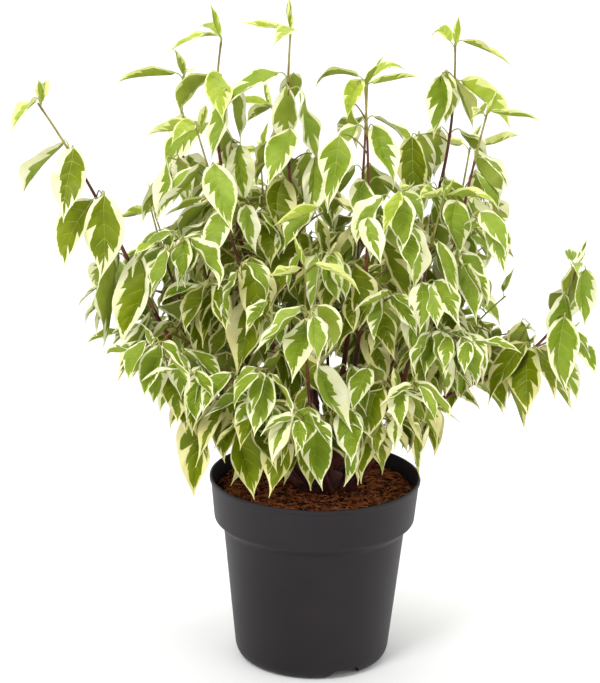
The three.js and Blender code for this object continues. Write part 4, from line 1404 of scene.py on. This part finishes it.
def twigs(handles, radius, nodes):
    """Many short twigs at once, each a curve of three handles with the same taper and swells."""
    handles = np.array(handles)
    along = np.linspace(0, 1, SHOOT_RINGS)
    path = bezier((handles[:, 0, None], handles[:, 1, None], handles[:, 2, None]), along)
    node = sum(np.exp(-(((along - spot) / KNOB_SHARE) ** 2)) for spot in nodes)
    radii = radius * (1 - SIDE_SHOOT_TAPER * along) * (1 + KNOB_SWELL * np.minimum(node, 1))
    out = (handles[:, 2] - handles[:, 0]) * (1, 1, 0)
    level = np.cross(UP, unit(out))[:, None]
    rings = tube_rings(path, np.broadcast_to(radii, path.shape[:2]), SHOOT_SIDES, level)
    return sleeves(path[:, 0], rings, path[:, -1])


print("a short twig has", len(sleeve_faces(SHOOT_RINGS, SHOOT_SIDES)), "triangles")

# %% The whips, side shoots and finer twigs
WHIP_RINGS = 96
WHIP_OVERLAP = 0.002
SIDE_SHOOT_RADIUS = 1.15
FINE_RADIUS = 0.85
whip_bark = finish("whip_bark", (82, 42, 32), (128, 74, 54), 16, 0.42)
young_bark = finish("young_bark", (124, 110, 54), (156, 150, 82), 12, 0.5)
shoot_bark = finish("shoot_bark", (98, 70, 44), (150, 132, 74), 14, 0.5)
old_wood = joined([whip(stem, stem.bare, stem.nodes[-2], WHIP_RINGS) for stem in stems])
young_from = [stem.nodes[-2] - WHIP_OVERLAP for stem in stems]
new_wood = joined([whip(stem, start, 1, WHIP_RINGS // 4) for stem, start in zip(stems, young_from)])
twig_pieces = [
    make_piece("whips_red", *old_wood, whip_bark),
    make_piece("whips_young", *new_wood, young_bark),
    make_piece("side_shoots", *twigs(shoot_list, SIDE_SHOOT_RADIUS, SIDE_SHOOT_NODES), shoot_bark),
    make_piece("fine_twigs", *twigs(fine_list, FINE_RADIUS, FINE_NODES), shoot_bark),
]
for piece in twig_pieces:
    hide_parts(*foliage_nodes)

# %% [markdown]
# ## Leaves
# A leaf of this dogwood is egg-shaped with a long drawn-out tip. It folds upwards along its
# midrib, hangs from an arched stalk, waves at the margin and sinks a little along the side
# veins, which sweep forward. One leaf could be modelled well and copied, but then all would
# hang alike. So the blade is a grid worked out for all leaves at once, each with its own bends,
# where rows follow the side veins and columns lie at shares of the half width.

# %% The leaves' measures
LONE_LEAF = 1.22
SLENDER = (1.06, 0.94)
YOUTHFUL = 0.3
LIFTS = (-5, 11)
TIP_LIFT = 1.8
ROLLS = (-20, 20)
TWISTS = (-1.5, 1.5)
SIDE_BENDS = (-0.18, 0.18)
TIP_CURLS = (-0.35, 0.5)
FOLD_SPREAD = 0.36
YOUNG_FOLD = 0.12
WAVES = (0.03, 0.11)
WAVE_COUNTS = (1.4, 2.5)
LEAF_SEED = 23
rng = np.random.default_rng(LEAF_SEED)
count = len(leaf_list)


def of_leaves(label):
    """One value of every leaf, with the two grid axes added behind it."""
    values = np.array([getattr(leaf, label) for leaf in leaf_list], float)
    return values.reshape(count, 1, 1, -1) if values.ndim == 2 else values.reshape(count, 1, 1)


def chance(low, high, *shape):
    """A value of every leaf between two bounds, again with the two grid axes."""
    return rng.uniform(low, high, (count, *shape) if shape else (count, 1, 1))


base, outward = of_leaves("base"), of_leaves("outward")
length, width, youth = of_leaves("length"), of_leaves("width"), of_leaves("youth")
stands_apart = np.array([stem.shoots < SIDE_SHOOT_CHANCE for stem in stems])
lone = stands_apart[of_leaves("spray").astype(int)]
stretch = np.where(lone & (youth < YOUTHFUL), LONE_LEAF, 1)
length, width = length * stretch * SLENDER[0], width * stretch * SLENDER[1]
droop = np.radians(of_leaves("droop") + chance(*LIFTS, 1, 1, 1) * (1, TIP_LIFT))
roll = np.radians(of_leaves("roll") + chance(*ROLLS))
twist = chance(*TWISTS)
side_bend = chance(*SIDE_BENDS)
tip_curl = chance(*TIP_CURLS)
fold = LEAF_KEEL + chance(0, 1) ** 1.5 * FOLD_SPREAD + YOUNG_FOLD * np.minimum(youth, 1)
wave = chance(*WAVES)
wave_count = chance(*WAVE_COUNTS)
wave_starts = rng.uniform(0, 2 * np.pi, (2, count, 1, 1))
print("leaves are", *(round(float(f(length))) for f in (np.min, np.median, np.max)), "mm long")

# %% The blade's outline
VEINS = 6
VEIN_SWEEP = 0.24
BASE_ROUNDNESS = 0.76
SIDE_FULLNESS = (0.62, 1.05)
LEAST_WIDTH = 0.015


def half_width(along):
    """The blade's outline, from 0 to 1: a sine whose power grows from a rounded base to a
    drawn-out tip. The base and tip keep a little width, so no face there shrinks to nothing."""
    swell = np.sin(np.pi * np.clip(along, 0, 1) ** BASE_ROUNDNESS)
    power = SIDE_FULLNESS[0] + SIDE_FULLNESS[1] * along
    return np.maximum(swell, 1e-6) ** power * (1 - LEAST_WIDTH) + LEAST_WIDTH


def forward(along, reach):
    """How far a side vein has swept towards the tip at a share of the half width: it grows a
    little faster than the share, and fades at the blade's two ends by a sine."""
    return VEIN_SWEEP * reach**1.3 * np.sin(np.pi * np.clip(along, 0, 1)) ** 0.8


print("half width at nine tenths of the blade:", round(float(half_width(np.array(0.9))), 2))

# %% The blades' surfaces
VEIN_DEPTH = 0.05
DEEPEST_FOLD = 0.6
CURL_FROM = 0.7


def blade(along, across_share, lift=0.0, vein_depth=VEIN_DEPTH):
    """Points of the blades at shares of the length and of the half width, both with the shape
    (leaves, rows, columns), raised off the middle surface by lift, in millimetres. The middle
    line turns evenly from its angle at the base to that at the tip. Across it a point shifts
    with its share, less where the blade is folded, and rises by the fold, by a wave that grows
    towards the margin, by pillows between the side veins, and by the curl of the tip."""
    start, turn = droop[..., 0], droop[..., 1] - droop[..., 0]
    now = start + turn * along
    run = length * (np.sin(now) - np.sin(start)) / turn
    climb = -length * (np.cos(now) - np.cos(start)) / turn
    middle = base + outward * run[..., None] + UP * climb[..., None]
    heading = outward * np.cos(now)[..., None] + UP * np.sin(now)[..., None]
    level = np.cross(outward, UP)
    tilt = (roll + twist * (along - LEAF_WIDEST))[..., None]
    across = level * np.cos(tilt) + np.cross(heading, level) * np.sin(tilt)
    face = np.cross(across, heading)
    reach = np.abs(across_share)
    half = half_width(along) * width / 2
    folded = np.sqrt(1 - np.minimum(fold, DEEPEST_FOLD) ** 2)
    shift = side_bend * length * (along**2 - LEAF_WIDEST**2) + across_share * half * folded
    phase = np.where(across_share > 0, wave_starts[0], wave_starts[1])
    ripple = np.sin(2 * np.pi * wave_count * along + phase)
    row = along - forward(along, reach)
    pillow = np.abs(np.sin(np.pi * row * VEINS)) ** 0.7
    relief = vein_depth * pillow * (1 - reach**4) * np.minimum(1, reach * 5)
    ripple = ripple * wave * reach**2 + relief + fold * (reach**1.2 - 1)
    height = width * half_width(along) * ripple
    height = height + tip_curl * length * np.clip(along - CURL_FROM, 0, 1) ** 2 * 2 + lift
    return middle + across * shift[..., None] + face * height[..., None]


middle_line = blade(np.linspace(0, 1, 3)[None, :, None], np.zeros((1, 3, 1)))
print("the lowest leaf tip is", round(float(middle_line[..., 2].min())), "mm above the ground")

# %% [markdown]
# ## The torn line
# Where green meets cream, the line runs out along each vein in a spike and falls back between
# the veins in a bay, deeper towards the tip. A pattern in the material could draw that, but its
# edge would blur from near. So two columns of the grid are that line, one on each half, and two
# more are the inner edge of the paler rim beside it. As on the real plant, some leaves have far
# more cream on one half, and very few have it nearly all over.

# %% Where green meets cream
ROWS = 37
BAY_DEPTHS = (-0.55, 1.15)
BAY_GROWTH = (0.36, 0.9)
MOST_BAYS = 12
SPIKES_PER_VEIN = 1.1
TOOTH = 0.12
rows = np.linspace(0, 1, ROWS)[None, :, None]


def torn(coarse):
    """Uneven values from row to row, from -1 to 1, some of it smooth and some of it rough."""
    knots = rng.uniform(-1, 1, (count, coarse))
    spots = np.linspace(0, coarse - 1, ROWS)
    low = np.minimum(spots.astype(int), coarse - 2)
    share = spots - low
    smooth = knots[:, low] * (1 - share) + knots[:, low + 1] * share
    return 0.5 * smooth + 0.5 * rng.uniform(-1, 1, (count, ROWS))


def green_reach(level):
    """How far out the green goes in each row. Near the base it almost reaches the margin. From
    there on, each vein's stretch starts with a bay of cream, whose depth is up to chance and
    grows towards the tip, and ends in a spike of green that points forward."""
    row = rows[0, :, 0]
    spot = row * VEINS * SPIKES_PER_VEIN + rng.uniform(0, 1, (count, 1))
    stretch = spot.astype(int)
    depths = np.clip(rng.uniform(*BAY_DEPTHS, (count, MOST_BAYS)), 0, 1)
    depth = np.take_along_axis(depths, stretch, axis=1) * (BAY_GROWTH[0] + BAY_GROWTH[1] * row)
    bay = depth * (1 - (spot - stretch)) ** 0.7
    teeth = TOOTH * (1 - (spot * 3) % 1) * (0.4 + row) + TOOTH * torn(MOST_BAYS) * (0.3 + row)
    base_end = np.clip(row / 0.1, 0.1, 1) ** 0.5
    tip_end = 1 - np.clip((row - 0.5) / rng.uniform(0.42, 0.52, (count, 1)), 0, 1) ** 2.2
    return np.clip(level * (1 - bay - teeth) * base_end * tip_end, 0.03, 0.95)


print(ROWS, "rows of points along a blade, and up to", MOST_BAYS, "bays on each half")

# %% Columns of the grid
THICKNESS = 0.6
GREEN_LEVEL = (0.92, 0.05)
CREAM_HALVES = (0.58, 0.54)
CREAM_LEAF = 0.3
LEFT_CREAM_BELOW = 0.14
RIGHT_CREAM = (0.1, 0.23)
ALL_CREAM_ABOVE = 0.985
RIM = (0.03, 0.14)
INNERMOST = 0.015
VEIN_LIFT = 0.18
LOWER_COLUMNS = [0, 1, 3, 4, 5, 7, 8]
level = np.clip(rng.normal(*GREEN_LEVEL, (count, 2)), 0.7, 1)
odd = rng.random(count)
level[odd < LEFT_CREAM_BELOW, 0] *= CREAM_HALVES[0]
level[(odd > RIGHT_CREAM[0]) & (odd < RIGHT_CREAM[1]), 1] *= CREAM_HALVES[1]
level[odd > ALL_CREAM_ABOVE] *= CREAM_LEAF
green_left, green_right = (green_reach(level[:, [side]]) for side in (0, 1))
rim_left, rim_right = (RIM[0] + RIM[1] * np.clip(torn(9) - 0.25, 0, 1) for _ in (0, 1))
in_left, in_right = (
    np.maximum(out * (1 - rim), INNERMOST)
    for out, rim in ((green_left, rim_left), (green_right, rim_right))
)
edge = np.ones((count, ROWS))
left_half = [-edge, -green_left, -in_left, -in_left / 2]
right_half = [in_right / 2, in_right, green_right, edge]
columns = np.stack(left_half + [0 * edge] + right_half, axis=2)
swept = rows + forward(rows, np.abs(columns))
upper = blade(np.minimum(swept, 1), columns)
raised = blade(np.minimum(swept, 1), columns, VEIN_LIFT)
swept, columns = swept[:, ::2, LOWER_COLUMNS], columns[:, ::2, LOWER_COLUMNS]
lower = blade(np.minimum(swept, 1), columns, THICKNESS * (columns**8 - 1), vein_depth=0)
print(upper.shape, "points on the blades' upper sides")

# %% [markdown]
# ## Cutting the colours apart
# One mesh with several materials would do for the picture, but pieces of one colour each are
# easier to use again. Each takes its own columns of the grid. Neighbours share their edge to
# the last digit, so the shell of a leaf stays closed: green, rim and cream above, cream again
# round the margin below, and the paler underside between.

# %% Patches of one colour
def patch(grid, upwards=True):
    """The faces between neighbouring rows and columns of a grid (leaves, rows, columns, 3)."""
    leaves, row_count, column_count, _ = grid.shape
    leaf, row, column = np.meshgrid(
        np.arange(leaves), np.arange(row_count - 1), np.arange(column_count - 1), indexing="ij"
    )
    corner = ((leaf * row_count + row) * column_count + column).ravel()
    right, ahead = corner + 1, corner + column_count
    faces = [np.stack([corner, right, ahead + 1], 1), np.stack([corner, ahead + 1, ahead], 1)]
    faces = np.concatenate(faces)
    return grid.reshape(-1, 3), faces if upwards else faces[:, ::-1]


def green_of(chosen):
    """The green middle of the chosen leaves, between the two inner columns."""
    return patch(upper[chosen][:, :, 2:7])


def rim_of(chosen):
    """The strips between the green middle and the torn line."""
    return joined([patch(upper[chosen][:, :, 1:3]), patch(upper[chosen][:, :, 6:8])])


def cream_of(chosen):
    """The margins outside the torn line, above and below."""
    above = [patch(upper[chosen][:, :, 0:2]), patch(upper[chosen][:, :, 7:9])]
    below = [patch(lower[chosen][:, :, 0:2], False), patch(lower[chosen][:, :, 5:7], False)]
    return joined(above + below)


def underside_of(chosen):
    """What lies between the lower margins."""
    return patch(lower[chosen][:, :, 1:6], False)


print("a green middle has", len(green_of([0])[1]), "triangles, a margin", len(cream_of([0])[1]))

# %% [markdown]
# ## Side veins
# A dogwood's side veins are plain to see: they leave the midrib in pairs and curve towards the
# tip. The blade already sinks along them, and a narrow pale ribbon in each furrow makes them
# readable from a metre away, for far fewer faces than a finer grid.

# %% Side veins
VEIN_HALF_WIDTHS = (0.34, 0.26, 0.12)


def side_veins():
    """Thin raised ribbons on the blades' upper sides, one pair at each furrow between two
    pillows. A ribbon runs from the midrib outwards over three columns of the grid."""
    step = (ROWS - 1) // VEINS
    furrows = np.arange(step, ROWS - step, step)
    ahead = unit(raised[:, furrows + 1] - raised[:, furrows - 1])
    ribbons = []
    for outwards in ((4, 5, 6), (4, 3, 2)):
        middle, way = raised[:, furrows][:, :, outwards], ahead[:, :, outwards]
        half = np.array(VEIN_HALF_WIDTHS)[:, None] * way
        sides = np.stack([middle - half, middle + half], axis=2)
        ribbons.append(patch(sides.reshape(-1, 2, 3, 3), upwards=outwards[1] > 4))
    return joined(ribbons)


print("a vein's ribbon is", 2 * VEIN_HALF_WIDTHS[0], "mm wide where it leaves the midrib")

# %% [markdown]
# ## Which leaf is which green
# Leaves inside the crown stand in shade, and that shade is painted into their colour: a darker
# green, and a yellower, darker cream at the margin, where the outer leaves get the lighter, lit
# copies of the same colours. At the tips the leaves are young and pale. Colouring each leaf by
# chance would lose that. So the leaves are counted that hide a leaf from the sky, and the outer
# ones are dealt out between two greens by a noise that changes from spray to spray. The lone stem
# on the left gets the darker green as painted shade too.

# %% Count what hides a leaf from the sky
YOUNG_ABOVE = 420
SKY_LIFT = 0.6
CONE_START = 10
CONE_RADIUS = 30
CONE_SLOPE = 0.35


def leaves_in_the_way(places):
    """How many leaves stand between each leaf and the sky: those in a cone that opens from it
    outwards and upwards, counted by their distance along the cone's axis and beside it."""
    level = unit((places - CROWN_MIDDLE * np.array([1.0, 0, 0])) * (1, 1, 0))
    axis = unit(level + SKY_LIFT * UP)[:, None]
    offset = places[None] - places[:, None]
    along = (offset * axis).sum(-1)
    beside = np.linalg.norm(offset - along[..., None] * axis, axis=-1)
    in_cone = (along > CONE_START) & (beside < CONE_RADIUS + CONE_SLOPE * along)
    return in_cone.sum(axis=1)


places = base[:, 0, 0]
hidden = leaves_in_the_way(places)
print("half of the leaves are hidden by more than", int(np.median(hidden)), "others")

# %% Deal the leaves out by spray
SPRAY_SIZE = 70
SPRAY_SEED = 3
SPRAY_BLUR = 0.22
FRESH_ABOVE = 0.05
young = (youth.ravel() > YOUTHFUL) & (places[:, 2] > YOUNG_ABOVE)
spray = lumps(places, SPRAY_SIZE, SPRAY_SEED) + rng.normal(0, SPRAY_BLUR, count)
# leaves hidden by more than the median get painted shade: a darker green and a yellower cream
in_shade = ~young & (hidden > np.median(hidden))
# the lone stem on the left gets the darker green as painted shade as well
painted_shade = in_shade | (~young & lone.ravel() & (places[:, 0] < 0))
fresh = ~young & ~painted_shade & (spray > FRESH_ABOVE)
middling = ~(young | painted_shade | fresh)
print(painted_shade.sum(), "deep,", middling.sum(), "middling,", fresh.sum(), "fresh,", young.sum(), "young")

# %% Colour the blades
green_finishes = {
    "leaf_green": (middling, (111, 134, 18), (134, 155, 42)),
    # painted shade: the darker green of leaves inside the crown and on the lone left stem
    "leaf_green_painted_shade": (painted_shade, (100, 114, 0), (121, 135, 6)),
    "leaf_green_fresh": (fresh, (121, 145, 33), (148, 170, 60)),
    "leaf_green_young": (young, (146, 166, 40), (172, 186, 66)),
}
cream_finishes = {
    # painted shade: the yellower, darker cream of leaves inside the crown; the outer cream below is
    # its lighter, lit copy
    "leaf_cream_painted_shade": (in_shade, (216, 210, 138), (236, 230, 170)),
    "leaf_cream_outer": (~young & ~in_shade, (226, 226, 172), (242, 241, 205)),
    "leaf_cream_young": (young, (204, 208, 122), (224, 226, 152)),
}
leaf_pieces = []
for name, (chosen, dark, light) in green_finishes.items():
    look = finish(name, dark, light, 26, 0.46, grain=1.7, relief=0.3, shine=0.2)
    leaf_pieces.append((make_piece(name, *green_of(chosen), look), "foliage"))
for name, (chosen, dark, light) in cream_finishes.items():
    look = finish(name, dark, light, 22, 0.5, grain=1.3, relief=0.1, shine=0.2)
    leaf_pieces.append((make_piece(name, *cream_of(chosen), look), "leaf_edge"))
rim_look = finish("leaf_rim", (150, 170, 70), (178, 192, 104), 18, 0.5, grain=1.1, relief=0.1)
under_look = finish("leaf_underside", (128, 144, 44), (152, 166, 68), 24, 0.6, shine=0.12)
everything = np.ones(count, bool)
leaf_pieces.append((make_piece("leaf_rim", *rim_of(everything), rim_look), "foliage"))
underside = make_piece("leaf_underside", *underside_of(everything), under_look)
leaf_pieces.append((underside, "leaf_underside"))
vein_look = finish("leaf_veins", (138, 156, 46), (162, 178, 72), 20, 0.5, shine=0.17)
leaf_pieces.append((make_piece("leaf_veins", *side_veins(), vein_look), "foliage"))

# %% [markdown]
# ## Leaf stalks and midribs
# The stalk leaves the twig at a slant, arches over and runs on down the blade as its midrib, a
# thin pale ridge that thins to nothing at the tip. Stalk and rib could be two tubes that meet,
# but as one tube nothing has to meet.

# %% The paths of stalks and midribs
STALK_RINGS = 7
RIB_RINGS = 9
RIB_END = 0.96
RIB_LIFT = -0.08
STALK_ARCH = 0.35
STALK_HANDLES = (0.45, 0.4)
node = of_leaves("node")[:, 0]
stalk_out = of_leaves("stalk_out")[:, 0]
rise = np.radians(of_leaves("rise"))[:, 0, :, None]
stalk_length = length[:, 0, :, None] * PETIOLE
first_way = stalk_out * np.cos(rise + STALK_ARCH) + UP * np.sin(rise + STALK_ARCH)
start_droop = droop[:, 0, :, :1]
last_way = outward[:, 0] * np.cos(start_droop) + UP * np.sin(start_droop)
rib_along = np.linspace(0, RIB_END, RIB_RINGS)[None, :, None]
rib_along = np.broadcast_to(rib_along, (count, RIB_RINGS, 1))
rib = blade(rib_along, 0 * rib_along, lift=RIB_LIFT)[:, :, 0]
handles = (
    node,
    node + STALK_HANDLES[0] * stalk_length * first_way,
    rib[:, :1] - STALK_HANDLES[1] * stalk_length * last_way,
    rib[:, :1],
)
stalk = bezier(handles, np.linspace(0, 1, STALK_RINGS))
stalk_path = np.concatenate([stalk, rib[:, 1:]], axis=1)
print("stalks are up to", round(float(stalk_length.max())), "mm long")

# %% Make the stalks, and take the masses' place
STALK_SIDES = 3
STALK_RADIUS = 0.75
RIB_RADII = (0.5, 0.12)
SIZE_SHARE = 0.45
rib_radii = np.linspace(*RIB_RADII, RIB_RINGS - 1)
radii = np.concatenate([np.full(STALK_RINGS, STALK_RADIUS), rib_radii])
radii = radii * (1 - SIZE_SHARE + SIZE_SHARE * length[:, :, 0] / LEAF_LENGTH)
guide = np.cross(UP, unit(stalk_out + outward[:, 0]))
rings = tube_rings(stalk_path, radii, STALK_SIDES, guide)
stalk_shape = sleeves(stalk_path[:, 0], rings, stalk_path[:, -1])
stalk_look = finish("leaf_stalks", (142, 152, 68), (172, 178, 104), 15, 0.5)
leaf_pieces.append((make_piece("leaf_stalks", *stalk_shape, stalk_look), "leaf_underside"))
for piece, slot in leaf_pieces:
    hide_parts(*foliage_nodes)

# %% [markdown]
# ## Floor and light
# The photograph is a studio picture on white, lit softly from above and in front. A single sun
# would leave hard shadows under each leaf. A pale floor and an even bright surround give the
# white, with one large soft light high on the left to model the leaves, and a weaker one on the
# right. Each row of the lights gives a place, the point it faces, a width and a power.

# %% The floor
FLOOR_HALF = 12000
FLOOR_SIDES = ((-1, -1), (1, -1), (1, 1), (-1, 1))
floor_points = [(x * FLOOR_HALF * MM, y * FLOOR_HALF * MM, 0) for x, y in FLOOR_SIDES]
floor_mesh = bpy.data.meshes.new("floor")
floor_mesh.from_pydata(floor_points, [], [(0, 1, 2, 3)])
floor_look = finish("floor", (243, 243, 243), (246, 246, 246), 2000, 0.9)
floor_mesh.materials.append(floor_look)
floor = bpy.data.objects.new("floor", floor_mesh)
bpy.context.scene.collection.objects.link(floor)
print("the floor is", 2 * FLOOR_HALF * MM, "m wide")

# %% The surround
BACKDROP_STRENGTH = 0.92
world = bpy.data.worlds.new("studio")
world.use_nodes = True
backdrop = world.node_tree.nodes["Background"]
backdrop.inputs["Color"].default_value = (1, 1, 1, 1)
backdrop.inputs["Strength"].default_value = BACKDROP_STRENGTH
bpy.context.scene.world = world
bpy.context.scene.view_settings.view_transform = "Standard"
print("the surround shines at", BACKDROP_STRENGTH)

# %% Soft lights
LIGHTS = {
    "key": ((-1.2, -1.9, 2.7), (0, 0, 0.35), 0.9, 50),
    "fill": ((2.0, -1.6, 1.5), (0, 0, 0.35), 1.6, 12),
    "top": ((0.3, 0.8, 2.8), (0, 0, 0.4), 1.2, 26),
    "far_floor": ((0, 6, 3.4), (0, 6, 0), 7, 120),
}


def softbox(name, place, aim, size, power):
    """A square soft light that faces a point, all in metres and watts."""
    light = bpy.data.lights.new(name, "AREA")
    light.size = size
    light.energy = power
    lamp = bpy.data.objects.new(name, light)
    way = unit(np.array(aim) - np.array(place))
    turn = math.degrees(math.atan2(way[1], way[0])) - 90
    drop = math.degrees(math.asin(way[2]))
    lamp.matrix_world = (
        Matrix.Translation(place)
        @ Matrix.Rotation(math.radians(turn), 4, "Z")
        @ Matrix.Rotation(math.radians(90 + drop), 4, "X")
    )
    bpy.context.scene.collection.objects.link(lamp)


for name, row in LIGHTS.items():
    softbox(name, *row)
print(len(LIGHTS), "soft lights")
